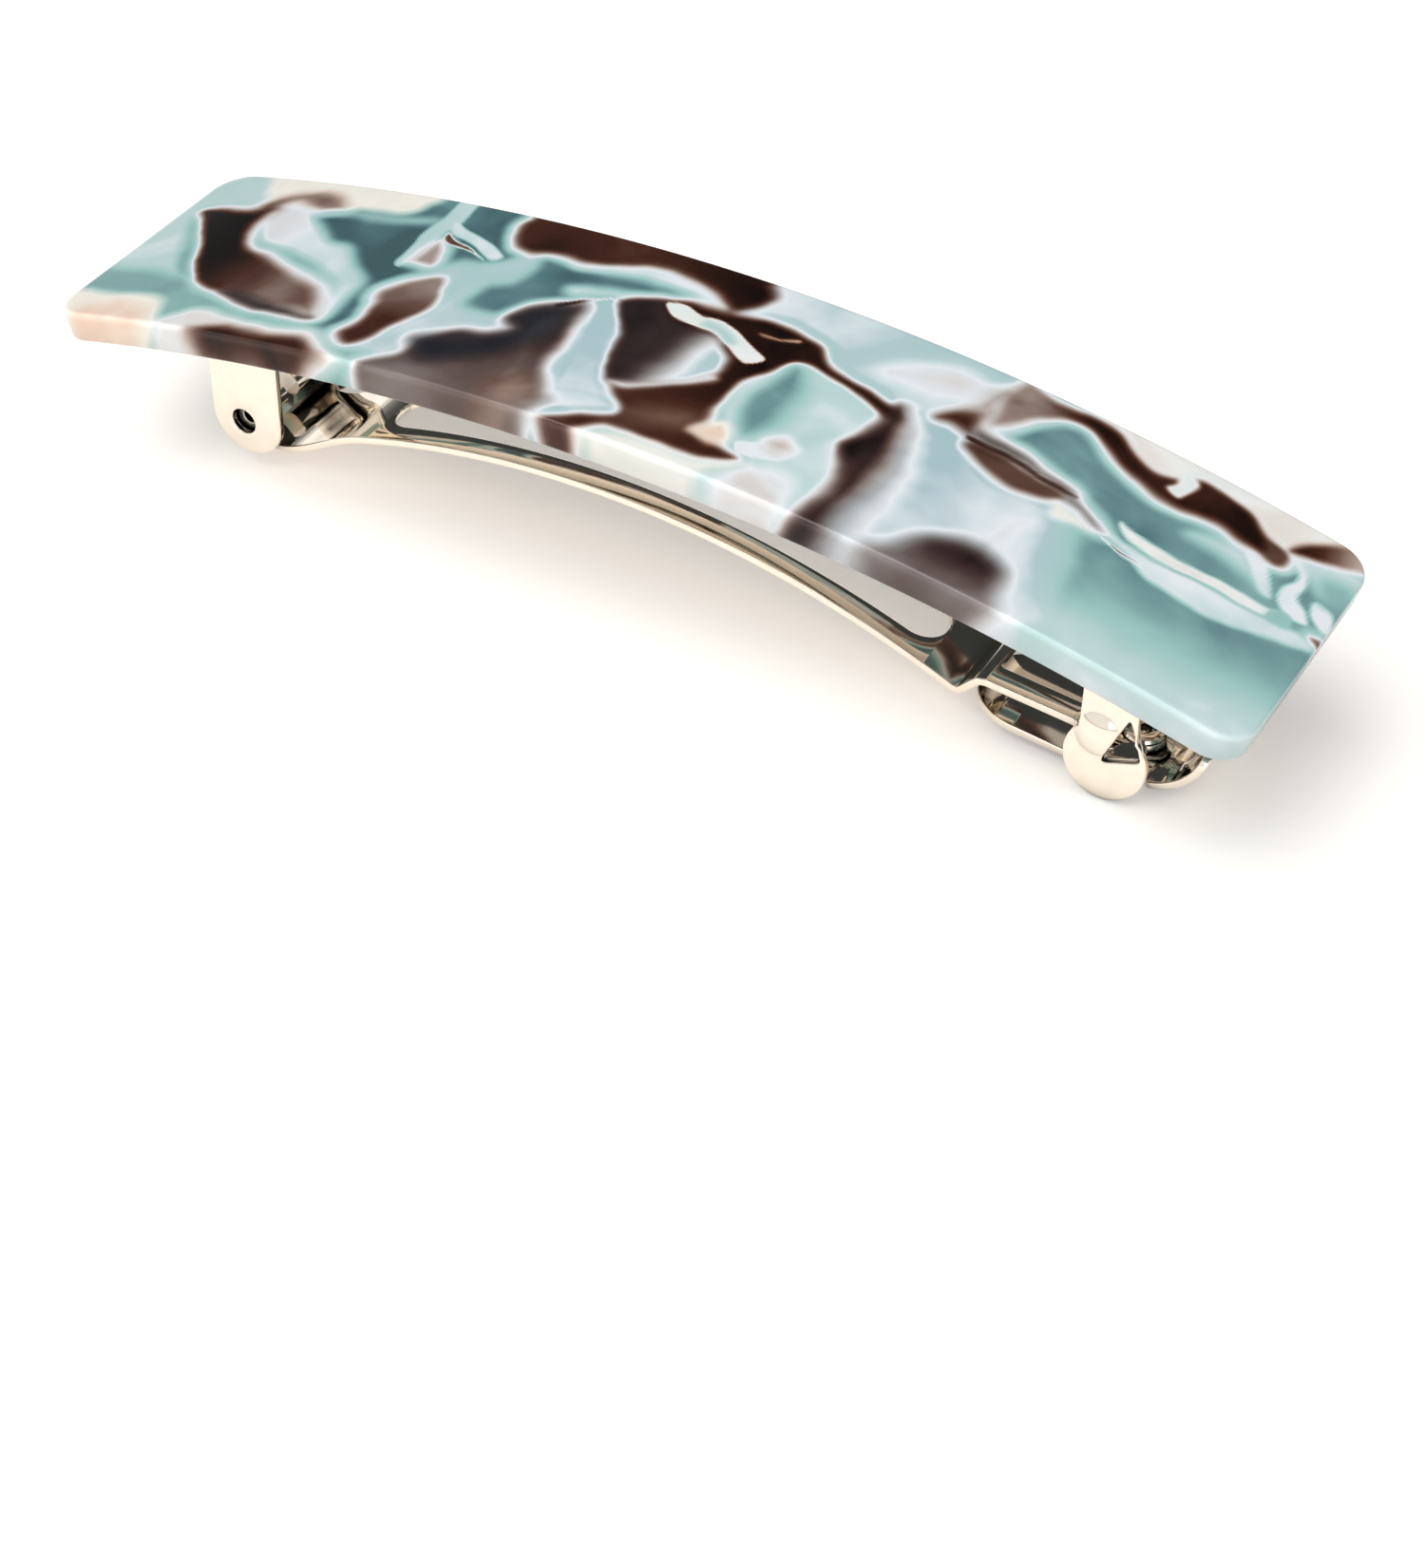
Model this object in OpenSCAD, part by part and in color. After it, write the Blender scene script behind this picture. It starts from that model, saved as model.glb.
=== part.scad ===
// Automatic hair barrette: a bent cellulose acetate plate over a stamped, nickel-plated steel clip.
// X runs along the clip from the hinge (-X) to the latch (+X), Y across it, and Z up.
// The origin is the centre of the bounding box's bottom face. The clip is drawn closed.

/* [Plate] */
// Length of the acetate plate along its curve
plate_l = 94; // [90:1:100]
// Width of the acetate plate
plate_w = 22; // [18:1:26]
// Thickness of the acetate plate
plate_t = 2.3; // [2:0.1:3]
// Radius of the plate's curved upper face
plate_r = 174.7; // [165:0.1:185]
// Radius of the plate's rounded corners, seen from above
plate_corner_r = 2.6; // [1:0.1:4]
// Height of the plate's crown above the lowest point
total_h = 19.2; // [19:0.1:20]

/* [Clip] */
// Length of the clip's base strip along its curve
base_l = 80; // [78:1:82]
// Width of the base strip, over its hinge ears
clip_w = 10; // [9.8:0.1:10.4]
// Thickness of the base strip
base_t = 0.8; // [0.6:0.1:1]
// Thickness of the ears, the arm, the latch and the buttons
sheet_t = 0.6; // [0.5:0.1:0.6]

/* [Hinge] */
// Place of the hinge line along X
hinge_x = -34.5; // [-35:0.1:-34]
// Height of the hinge line
hinge_z = 4.1; // [4:0.1:4.4]
// Radius of the hole in each ear
hinge_hole_r = 1.0; // [1:0.05:1.1]
// Radial running clearance of the arm's pins
hinge_play = 0.05; // [0.03:0.01:0.08]

/* [Arm] */
// Width of the clasp arm
arm_w = 8; // [7.6:0.1:8]
// Radius that the arm's main stretch is bent to
arm_r = 69; // [68:0.5:70]
// Height of the crown of the arm's curve
arm_crown_z = 8.6; // [8.4:0.1:8.6]
// Width of the long slot, and of the latch window
slot_w = 4.2; // [4.1:0.1:4.4]

/* [Latch] */
// Centre of each button's disc along X
disc_x = 35.4; // [35.2:0.1:35.6]
// Radius of each button's disc
disc_r = 3.0; // [2.9:0.1:3.1]
// Outward lean of each button, in degrees
button_lean = 5; // [4:0.5:6]

/* [Hidden] */
$fn = 96;

film_t = 0.15;
bend_z = total_h - plate_r;         // height of the line that the plate and base are bent around
under_r = plate_r - plate_t;        // radius of the plate's underside
base_r = under_r - film_t;          // radius of the base strip's upper face
seat_r = base_r - base_t;           // radius of the base strip's underside

end_hole_x = 37.9;                  // the base strip's two end holes
end_hole_r = 1.0;

ear_w = 6;
ear_x = hinge_x + 0.3;
ear_tip_z = hinge_z + 0.4;          // centre of the ear's round end
ear_y = clip_w / 2 - sheet_t;       // inner face of an ear

arm_crown_x = -4;
slot_x = [-23.8, 20.8];             // the long slot's two ends
window_x = [25.9, 32.4];            // the latch window's two ends
neck_w = 3.0;                       // the arm between the two claws
neck_x = 33.2;
tail_x = 37.6;                      // where the thumb tab widens again
tail_w = 7.8;
curl_x = 36.9;                      // where the thumb tab starts to curl up
curl_r = 4.9;
tab_z = 0.8;                        // mid-height of the thumb tab's lowest stretch
lap_gap = 0.08;                     // play between the arm's end and the tab under it
lap_z = tab_z + sheet_t + lap_gap;  // mid-height of the arm's end
tab_rivet_x = 35.9;
tab_rivet_r = 0.8;
tab_rivet_head_r = 1.5;

bracket_x = [31.6, 38.6];
bracket_w = clip_w - 0.1;
latch_rivet_x = 35.1;
bow_gap = 0.2;                      // play between the bow and the base where it is riveted
bow_x = [-30, 27];
bow_w = 6;
bow_t = 0.5;
bow_sag = 2.0;
bow_rivet_x = -27;
rivet_r = 0.9;
rivet_head_r = 1.8;
rivet_head_t = 0.5;

leg_x = [33.2, 37.0];               // a button's leg where it meets the bracket
flex_z = 11.6;                      // height of the bend that a button flexes about
leg_y = clip_w / 2 - sheet_t - 0.05; // inner face of a button's leg at that bend
disc_z = disc_r + 0.1;
// Triangle that is cut and bent inwards from a button's disc to make its claw.
claw_window = [[35.1, 2.9], [36.8, 7.0], [37.9, 3.9]];
claw_reach = 2.0;                   // how far a claw stands in from its disc
dome_at = [34.7, 5.0];              // middle of the button's raised dome
dome_r = 1.7;                       // radius of the dome's rim
dome_h = 0.5;                       // height of the dome over the leg's face
dome_ball = (dome_r * dome_r + dome_h * dome_h) / (2 * dome_h);

// Height of a circle of radius r around the plate's bending line, at x.
function ring_z(r, x) = bend_z + sqrt(r * r - x * x);

// Height of the latch bracket's underside at x.
function bracket_low_z(x) = ring_z(seat_r - sheet_t, x);

// Height of the middle of the arm's main curve at x.
function arm_arc_z(x) = arm_crown_z - arm_r + sqrt(arm_r * arm_r - pow(x - arm_crown_x, 2));

// Slope of the arm's main curve at x.
function arm_arc_slope(x) = -(x - arm_crown_x) / sqrt(arm_r * arm_r - pow(x - arm_crown_x, 2));

// Cubic curve from point a with slope ma to point b with slope mb, in n steps.
function s_bend(a, ma, b, mb, n) = [
    for (i = [0:n]) let (t = i / n, w = b[0] - a[0], t2 = t * t, t3 = t2 * t) [
        a[0] + w * t,
        (2 * t3 - 3 * t2 + 1) * a[1] + (t3 - 2 * t2 + t) * w * ma
            + (3 * t2 - 2 * t3) * b[1] + (t3 - t2) * w * mb
    ]
];

// Unit vector square to the line from a to b.
function side(a, b) = let (d = b - a) [-d[1], d[0]] / norm(d);

// Points of a path moved sideways by d, mitred at its corners.
function shifted(path, d) = [
    for (i = [0:len(path) - 1]) let (
        n1 = side(path[max(i - 1, 0)], path[max(i, 1)]),
        n2 = side(path[min(i, len(path) - 2)], path[min(i + 1, len(path) - 1)]),
        m = n1 + n2
    ) path[i] + m * (2 * d / (m * m))
];

// Closed outline of a sheet of thickness t that follows a path.
function sheet_outline(path, t) = let (
    low = shifted(path, -t / 2),
    top = shifted(path, t / 2)
) concat(low, [for (i = [len(top) - 1:-1:0]) top[i]]);

// Middle line of the clasp arm, from under the hinge to its end on the thumb tab.
arm_path = concat(
    [[hinge_x - 1.3, 2.0]],
    s_bend([hinge_x + 2.6, 2.0], 0.2, [-25, arm_arc_z(-25)], arm_arc_slope(-25), 8),
    [for (i = [1:24]) let (x = -25 + i * 2) [x, arm_arc_z(x)]],
    [[23.7, arm_arc_z(23.7)], [25.3, 4.5], [32.6, 3.9], [34.2, lap_z], [38.7, lap_z]]
);

// Middle line of the thumb tab: straight under the rails, then curled up.
tab_path = concat(
    [[23.9, 1.8], [33.8, tab_z]],
    [for (a = [0:7:77]) [curl_x + curl_r * sin(a), tab_z + curl_r * (1 - cos(a))]]
);

// Middle line of the tension bow, sagging from its riveted end towards the arm.
bow_path = [
    for (i = [0:20]) let (
        t = i / 20,
        x = bow_x[0] + (bow_x[1] - bow_x[0]) * t,
        u = max(t - 0.1, 0) / 0.9
    ) [x, ring_z(seat_r - bow_gap - bow_t / 2, x) - bow_sag * pow(sin(u * 165), 2) - 0.9 * u]
];

// Shell between radii r1 and r2 around the bending line, of arc length l and width w.
module bent_strip(r1, r2, l, w) {
    half = l / r2 * 90 / PI;
    translate([0, 0, bend_z]) rotate([90, 0, 0]) rotate([0, 0, 90 - half])
        rotate_extrude(angle = 2 * half, $fn = 360) translate([r1, -w / 2]) square([r2 - r1, w]);
}

// What a corner of radius r loses on a bent strip whose outer radius is r2.
module corner_waste(r2, l, w, r) {
    half = l / r2 * 90 / PI;
    for (sx = [-1, 1], sy = [-1, 1])
        translate([0, 0, bend_z]) rotate([0, sx * half, 0]) translate([0, sy * (w / 2), r2])
            difference() {
                translate([sx > 0 ? -r : -1, sy > 0 ? -r : -1, -4]) cube([r + 1, r + 1, 8]);
                translate([-sx * r, -sy * r, -5]) cylinder(r = r, h = 10);
            }
}

// Sheet of width w that follows a path in the XZ plane.
module bent_sheet(path, t, w) {
    rotate([90, 0, 0]) linear_extrude(w, center = true) polygon(sheet_outline(path, t));
}

// Upright block over a plan shape, tall enough to cut through the whole clip.
module through_cut() {
    translate([0, 0, -5]) linear_extrude(30) children();
}

// Slot with round ends between two places along X.
module slot_2d(ends, w) {
    translate([ends[0] + w / 2, -w / 2]) square([ends[1] - ends[0] - w, w]);
    for (x = [ends[0] + w / 2, ends[1] - w / 2]) translate([x, 0]) circle(d = w);
}

// Places its children at x on the bent base, square to it, with their origin at radius 0.
module on_bend(x) {
    translate([0, 0, bend_z]) rotate([0, asin(x / seat_r), 0]) children();
}

// Hole of radius r through the bent base and all that is riveted to it.
module bend_hole(x, r) {
    on_bend(x) translate([0, 0, seat_r - 5]) cylinder(r = r, h = 10);
}

// Rivet at x: a shank up into the base, and a low head whose upper face is at radius under_head.
module rivet(x, under_head) {
    on_bend(x) {
        translate([0, 0, under_head]) cylinder(r = rivet_r, h = base_r - 0.05 - under_head);
        translate([0, 0, under_head - rivet_head_t]) cylinder(r = rivet_head_r, h = rivet_head_t);
    }
}

module acetate_plate() {
    color([0.55, 0.72, 0.72]) difference() {
        bent_strip(under_r, plate_r, plate_l, plate_w);
        corner_waste(plate_r, plate_l, plate_w, plate_corner_r);
    }
}

module adhesive_film() {
    color([0.9, 0.88, 0.8]) difference() {
        bent_strip(base_r, under_r, base_l - 4, clip_w - 1.5);
        corner_waste(under_r, base_l - 4, clip_w - 1.5, 2);
    }
}

// One hinge ear: a tab with a round end, pierced for the arm's pin.
module ear() {
    rotate([90, 0, 0]) linear_extrude(sheet_t) difference() {
        union() {
            translate([ear_x, ear_tip_z]) circle(d = ear_w);
            translate([ear_x - ear_w / 2, ear_tip_z])
                square([ear_w, ring_z(seat_r, ear_x) + 0.2 - ear_tip_z]);
        }
        translate([hinge_x, hinge_z]) circle(r = hinge_hole_r);
    }
}

module base_strip() {
    color([0.80, 0.79, 0.76]) {
        difference() {
            bent_strip(seat_r, base_r, base_l, clip_w);
            corner_waste(base_r, base_l, clip_w, 3);
            for (x = [latch_rivet_x, bow_rivet_x]) bend_hole(x, rivet_r);
            for (sx = [-1, 1]) bend_hole(sx * end_hole_x, end_hole_r);
        }
        translate([0, clip_w / 2, 0]) ear();
        translate([0, -ear_y, 0]) ear();
    }
}

module latch_bracket() {
    color([0.76, 0.75, 0.72]) difference() {
        intersection() {
            bent_strip(seat_r - sheet_t, seat_r, base_l, bracket_w);
            through_cut() translate([bracket_x[0], -bracket_w / 2])
                square([bracket_x[1] - bracket_x[0], bracket_w]);
        }
        bend_hole(latch_rivet_x, rivet_r);
    }
}

module latch_rivet() {
    color([0.72, 0.71, 0.68]) rivet(latch_rivet_x, seat_r - sheet_t - 0.03);
}

module tension_bow() {
    color([0.78, 0.77, 0.74]) difference() {
        intersection() {
            bent_sheet(bow_path, bow_t, bow_w);
            through_cut() slot_2d(bow_x, bow_w);
        }
        bend_hole(bow_rivet_x, rivet_r + 0.15);
    }
}

module bow_rivet() {
    color([0.72, 0.71, 0.68]) rivet(bow_rivet_x, seat_r - bow_gap - bow_t - 0.2);
}

// Plan of the arm: full width to the latch window, then a narrow neck with a round end.
module arm_plan() {
    translate([-40, -arm_w / 2]) square([neck_x + 40, arm_w]);
    translate([neck_x - 1, -neck_w / 2]) square([tab_rivet_x - neck_x + 1, neck_w]);
    translate([tab_rivet_x, 0]) circle(d = neck_w);
}

// Side knuckle of the arm, which carries one hinge pin.
module knuckle() {
    rotate([90, 0, 0]) linear_extrude(sheet_t) {
        translate([hinge_x, hinge_z]) circle(r = 2.0);
        translate([hinge_x - 2.0, 1.9]) square([4.0, hinge_z - 1.9]);
    }
}

module clasp_arm() {
    color([0.80, 0.79, 0.76]) {
        difference() {
            intersection() {
                bent_sheet(arm_path, sheet_t, arm_w);
                through_cut() arm_plan();
            }
            through_cut() slot_2d(slot_x, slot_w);
            through_cut() translate([window_x[0], -slot_w / 2])
                square([window_x[1] - window_x[0], slot_w]);
            translate([tab_rivet_x, 0, -1]) cylinder(r = tab_rivet_r + 0.1, h = 5);
        }
        for (s = [-1, 1]) {
            translate([0, s * (ear_y - 0.2 - sheet_t / 2) + sheet_t / 2, 0]) knuckle();
            translate([hinge_x, s * (ear_y - 0.3), hinge_z]) rotate([s * -90, 0, 0])
                cylinder(r = hinge_hole_r - hinge_play, h = 0.6);
        }
    }
}

// Plan of the thumb tab: a full-round end, a waist between the claws, and a wide tail.
module tab_plan() {
    translate([27.8, 0]) circle(d = arm_w);
    translate([27.8, -arm_w / 2]) square([neck_x - 27.8, arm_w]);
    translate([neck_x - 1, -2.6]) square([tail_x - neck_x + 2, 5.2]);
    translate([tail_x, -tail_w / 2]) square([6, tail_w]);
}

module thumb_tab() {
    color([0.80, 0.79, 0.76]) difference() {
        intersection() {
            bent_sheet(tab_path, sheet_t, arm_w);
            through_cut() tab_plan();
        }
        translate([tab_rivet_x, 0, -1]) cylinder(r = tab_rivet_r, h = 5);
    }
}

module tab_rivet() {
    color([0.72, 0.71, 0.68]) translate([tab_rivet_x, 0, 0]) {
        translate([0, 0, tab_z - sheet_t / 2]) cylinder(r = tab_rivet_r, h = 2 * sheet_t + 0.3);
        translate([0, 0, lap_z + sheet_t / 2 + 0.1]) cylinder(r = tab_rivet_head_r, h = 0.4);
    }
}

// Front button before it leans: a leg, its disc, the raised dome and the inward claw.
module button_blank() {
    difference() {
        rotate([90, 0, 0]) linear_extrude(sheet_t) {
            translate([disc_x, disc_z]) circle(r = disc_r);
            polygon(concat([for (x = leg_x) [x, bracket_low_z(x) - 0.2]], [[37.5, 5.2], [33.3, 5.2]]));
        }
        translate([0, 1, 0]) rotate([90, 0, 0]) linear_extrude(2) polygon(claw_window);
    }
    intersection() {
        translate([dome_at[0], dome_ball - dome_h - sheet_t, dome_at[1]]) sphere(r = dome_ball);
        translate([30, -2, 0]) cube([10, 2 - sheet_t + 0.1, 10]);
        translate([0, 1, 0]) rotate([90, 0, 0]) linear_extrude(4)
            polygon([claw_window[0] - [0, 0.2], claw_window[1], [30, claw_window[1][1]], [30, 0]]);
    }
    translate([0, claw_reach, 0]) rotate([90, 0, 0]) linear_extrude(claw_reach + 0.1)
        polygon([claw_window[0] + [0.1, -0.2], claw_window[0] + [0.1, 0.2],
                 claw_window[2] + [-0.3, 0.2], claw_window[2] + [-0.3, -0.2]]);
}

// A button leaned outwards about its bend, on the side s of the clip (-1 front, 1 rear).
module button(s) {
    color([0.86, 0.84, 0.80]) mirror([0, s > 0 ? 1 : 0, 0])
        translate([0, -leg_y, flex_z]) rotate([-button_lean, 0, 0]) translate([0, 0, -flex_z])
            button_blank();
}

module front_button() {
    button(-1);
}

module rear_button() {
    button(1);
}

acetate_plate();
adhesive_film();
base_strip();
latch_bracket();
latch_rivet();
tension_bow();
bow_rivet();
clasp_arm();
thumb_tab();
tab_rivet();
front_button();
rear_button();
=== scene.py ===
"""Marbled acetate hair barrette on a nickel-plated automatic clip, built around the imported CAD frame.

Every shape is worked out in millimetres, in the frame's own axes: X runs along the clip from the hinge to
the latch, Y across it and Z up. Vertices are turned to metres when a mesh is made.
"""

import math
from collections import namedtuple

import bmesh
import bpy
import numpy as np
from bpy.props import FloatProperty, FloatVectorProperty, PointerProperty
from mathutils import Matrix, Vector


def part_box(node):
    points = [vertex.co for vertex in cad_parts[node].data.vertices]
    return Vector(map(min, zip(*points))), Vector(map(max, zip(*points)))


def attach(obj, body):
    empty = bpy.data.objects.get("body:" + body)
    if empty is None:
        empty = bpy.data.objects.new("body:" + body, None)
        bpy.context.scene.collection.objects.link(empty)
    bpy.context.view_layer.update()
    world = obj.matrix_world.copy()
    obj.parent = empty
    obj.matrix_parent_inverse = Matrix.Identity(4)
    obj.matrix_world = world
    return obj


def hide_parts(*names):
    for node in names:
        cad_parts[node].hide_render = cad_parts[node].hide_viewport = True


bl_info = {
    "name": "Marbled Hair Barrette",
    "version": (1, 0, 0),
    "blender": (4, 5, 0),
    "location": "View3D > Sidebar > Barrette",
    "description": "Builds a marbled acetate barrette and its sprung clip around the packed frame",
    "category": "Add Mesh",
}

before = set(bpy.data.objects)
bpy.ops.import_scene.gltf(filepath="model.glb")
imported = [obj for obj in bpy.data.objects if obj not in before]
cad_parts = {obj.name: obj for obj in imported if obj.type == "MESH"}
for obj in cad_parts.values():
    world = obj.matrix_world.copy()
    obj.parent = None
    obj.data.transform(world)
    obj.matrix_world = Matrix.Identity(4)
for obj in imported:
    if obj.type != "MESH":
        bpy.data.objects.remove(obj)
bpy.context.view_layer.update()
MM = 0.001
BASE_BODY = "plate_and_base"


def linear(code):
    """Linear RGB of an sRGB hex colour: the sRGB curve undone on each of its three bytes."""
    srgb = [int(code[i:i + 2], 16) / 255 for i in (1, 3, 5)]
    return tuple(c / 12.92 if c <= 0.04045 else ((c + 0.055) / 1.055) ** 2.4 for c in srgb)


def length(label, about, value):
    """A length property, given in millimetres and kept in metres."""
    return FloatProperty(name=label, description=about, default=value * MM, unit="LENGTH", precision=5)


def tint(label, about, code):
    """A colour property with an sRGB hex default."""
    return FloatVectorProperty(name=label, description=about, default=linear(code), subtype="COLOR",
                               min=0.0, max=1.0, size=3)


class PlateSettings(bpy.types.PropertyGroup):
    """Sizes and colours of the acetate plate."""

    plate_length: length("Length", "Length of the plate along its curve", 94)
    width: length("Width", "Width of the plate", 22)
    thickness: length("Thickness", "Thickness of the plate", 2.3)
    bend: length("Bend radius", "Radius of the plate's upper face", 174.7)
    corner: length("Corner radius", "Radius of the plate's corners, seen from above", 2.6)
    edge: length("Edge radius", "Radius that polishing leaves along the plate's edges", 0.3)
    teal: tint("Teal", "Colour of the clear teal chips", "#567A80")
    aqua: tint("Aqua", "Colour of the milky teal chips", "#9CC6C3")
    white: tint("White", "Colour of the pearl white veins", "#E5EBF1")
    brown: tint("Brown", "Colour of the brown chips", "#43241A")
    black: tint("Black brown", "Colour of the deepest brown", "#0C0504")
    cream: tint("Cream", "Colour of the cream chips", "#F8F1E2")
    peach: tint("Peach", "Colour of the peach chips", "#EBCFBC")
    slate: tint("Slate", "Colour of the grey blue chips", "#26282E")


class ClipSettings(bpy.types.PropertyGroup):
    """Sizes and colours of the metal clip."""

    sheet: length("Sheet", "Thickness of the stamped sheet", 0.6)
    base: length("Base strip", "Thickness of the base strip", 0.8)
    burr: length("Edge radius", "Radius that tumbling leaves along stamped edges", 0.13)
    arm_width: length("Arm width", "Width of the clasp arm", 8)
    slot_width: length("Slot width", "Width of the arm's long slot and of its latch window", 4.2)
    disc: length("Disc radius", "Radius of each button's disc", 3.0)
    nickel: tint("Nickel", "Colour of the nickel plating", "#EFE5D7")
    rivet: tint("Rivet", "Colour of the rivets' plating", "#DDD3C4")
    glue: tint("Adhesive", "Colour of the cured adhesive", "#D8D2C0")


class StudioSettings(bpy.types.PropertyGroup):
    """Floor, lights and camera."""

    floor: tint("Floor", "Colour of the acrylic sweep", "#FBF8F5")
    glow: FloatProperty(name="Surround", description="Strength of the white surround", default=1.0,
                        min=0)
    key: FloatProperty(name="Key light", description="Power of the soft box overhead", default=5.0,
                       min=0, unit="POWER")
    lens: FloatProperty(name="Lens", description="Focal length of the camera", default=78.0, min=10,
                        unit="CAMERA")


# ---------------------------------------------------------------- shapes

def grid_faces(rows, columns, wrap=True):
    """Quads of a grid of points stored row by row. With wrap, the last column joins the first."""
    across = columns if wrap else columns - 1
    i, j = np.meshgrid(np.arange(rows - 1), np.arange(across), indexing="ij")
    k = (j + 1) % columns
    quads = [i * columns + j, (i + 1) * columns + j, (i + 1) * columns + k, i * columns + k]
    return np.stack(quads, axis=-1).reshape(-1, 4)


def smooth(t):
    """Cubic ease from 0 to 1: three t squared less two t cubed, held at both ends."""
    t = np.clip(t, 0, 1)
    return t * t * (3 - 2 * t)


def even_path(points, rounding=0.25, step=0.05):
    """Points walked off at an even step along a polyline. A running bell average eases its corners, and both
    ends are carried on straight so that the average doesn't shorten them."""
    points = np.asarray(points, float)
    run = np.append(0, np.cumsum(np.hypot(*np.diff(points, axis=0).T)))
    at = np.linspace(0, run[-1], int(run[-1] / step) + 1)
    line = np.column_stack([np.interp(at, run, points[:, k]) for k in (0, 1)])
    tail = int(3 * rounding / step)
    bell = np.exp(-0.5 * (np.arange(-tail, tail + 1) * step / rounding) ** 2)
    bell /= bell.sum()
    ahead = line[0] + (line[1] - line[0]) * np.arange(-tail, 0)[:, None]
    past = line[-1] + (line[-1] - line[-2]) * np.arange(1, tail + 1)[:, None]
    padded = np.vstack([ahead, line, past])
    return np.column_stack([np.convolve(padded[:, k], bell, "valid") for k in (0, 1)])


# A rounded rectangle laid along a path: where it starts and ends, its half-width, and its corners' radii.
Cut = namedtuple("Cut", "start end half round_start round_end")


def half_width(cut, s, grow):
    """Half-width at s of a cut grown by an offset: straight, then the corner's circle."""
    r0, r1 = cut.round_start, cut.round_end
    early, late = cut.start + r0 - s, s - (cut.end - r1)
    width = cut.half + grow + 0 * s
    for past, r in ((early, r0), (late, r1)):
        bow = np.maximum((r + grow) ** 2 - past ** 2, 0)
        width = np.where(past > 0, cut.half - r + np.sqrt(bow), width)
        width = np.where(past > r + grow, 0, width)
    return np.maximum(width, 0)


def edge_profile(thick, burr, steps=3):
    """Inset and height of a sheet's edge from its upper face to its lower: a quarter circle, a flat, and
    a quarter circle."""
    turn = np.linspace(0, math.pi / 2, steps + 1)
    inset, rise = burr * (1 - np.sin(turn)), thick / 2 - burr + burr * np.cos(turn)
    return np.append(inset, inset[::-1]), np.append(rise, -rise[::-1])


def stamped(path, thick, outer, holes, burr, step):
    """Stamped sheet that follows a path in XZ. At each station along the path, the section is the closed
    rounded rectangle between the holes' half-width and the outline's half-width. It is made for Y above 0,
    then mirrored, and what lies in the mirror plane is dropped. Outline and holes are rounded rectangles
    placed by arc length."""
    line = even_path(path)
    run = np.append(0, np.cumsum(np.hypot(*np.diff(line, axis=0).T)))
    insets, rises = edge_profile(thick, burr)
    # Stations in pairs this close together make a clean step where a cut ends.
    tiny = 4e-4
    stations = [np.arange(0, run[-1], step)]
    for cut, sign in [(c, -1) for c in outer] + [(c, 1) for c in holes]:
        for end, r, way in ((cut.start, cut.round_start, 1), (cut.end, cut.round_end, -1)):
            swing = np.linspace(0, math.pi / 2, 5 + int(4 * r))
            stations.append(end + way * r * (1 - np.cos(swing)))
            for inset in insets:
                stations.append(end - way * sign * inset + np.array([-tiny, tiny]))
    low, high = min(c.start for c in outer), max(c.end for c in outer)
    s = np.unique(np.round(np.concatenate(stations), 5))
    s = s[(s >= low - 2 * tiny) & (s <= high + 2 * tiny)][:, None]
    part = np.linspace(0, 1, 3)
    one, inner = np.ones(len(part)), slice(1, -1)
    share = np.concatenate([part, 0 * insets[inner] + 1, part[::-1], 0 * insets[inner]])
    inset = np.concatenate([burr * one, insets[inner], burr * one, insets[inner]])
    rise = np.concatenate([thick / 2 * one, rises[inner], -thick / 2 * one, -rises[inner]])
    wide = np.max([half_width(c, s, -inset) for c in outer], axis=0)
    bare = np.max([half_width(c, s, inset) for c in holes], axis=0) if holes else 0 * wide
    wide = np.maximum(wide, bare)
    y = bare * (1 - share) + wide * share
    slope = np.gradient(line, axis=0)
    slope /= np.hypot(*slope.T)[:, None]
    at = [np.interp(s, run, column) for column in (*line.T, *slope.T)]
    x, z = at[0] - at[3] * rise, at[1] + at[2] * rise
    points = np.stack([x + 0 * y, y, z + 0 * y], axis=-1).reshape(-1, 3)
    quads = grid_faces(len(s), len(share))
    quads = quads[(points[quads][:, :, 1] > 1e-6).any(axis=1)]
    mirrored = points * [1, -1, 1]
    return np.vstack([points, mirrored]), np.vstack([quads, quads[:, ::-1] + len(points)])


# An outline that is found on rays has this many of them unless told otherwise, each this long.
AROUND, WIDEST = 240, 14.0


def reach(inside, centre, count=AROUND):
    """Outline of a star-shaped region: on rays around a centre, the furthest point that is inside, found on
    a coarse scan and closed in on by halving."""
    scan = 280
    turn = np.linspace(0, 2 * math.pi, count, endpoint=False)[:, None]
    away = np.linspace(0, WIDEST, scan + 1)[None, :]
    hit = inside(centre[0] + away * np.cos(turn), centre[1] + away * np.sin(turn))
    last = np.where(hit, away, 0).max(axis=1)
    low, high = last, last + WIDEST / scan
    for _ in range(24):
        middle = (low + high) / 2
        held = inside(centre[0] + middle * np.cos(turn[:, 0]), centre[1] + middle * np.sin(turn[:, 0]))
        low, high = np.where(held, middle, low), np.where(held, high, middle)
    return np.column_stack([centre[0] + low * np.cos(turn[:, 0]), centre[1] + low * np.sin(turn[:, 0])])


def grown(loop, by):
    """Closed loop moved outwards along its own normals by a distance."""
    ahead = np.roll(loop, -1, axis=0) - np.roll(loop, 1, axis=0)
    normal = np.column_stack([ahead[:, 1], -ahead[:, 0]])
    normal /= np.hypot(*normal.T)[:, None] + 1e-12
    return loop + normal * by


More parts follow.
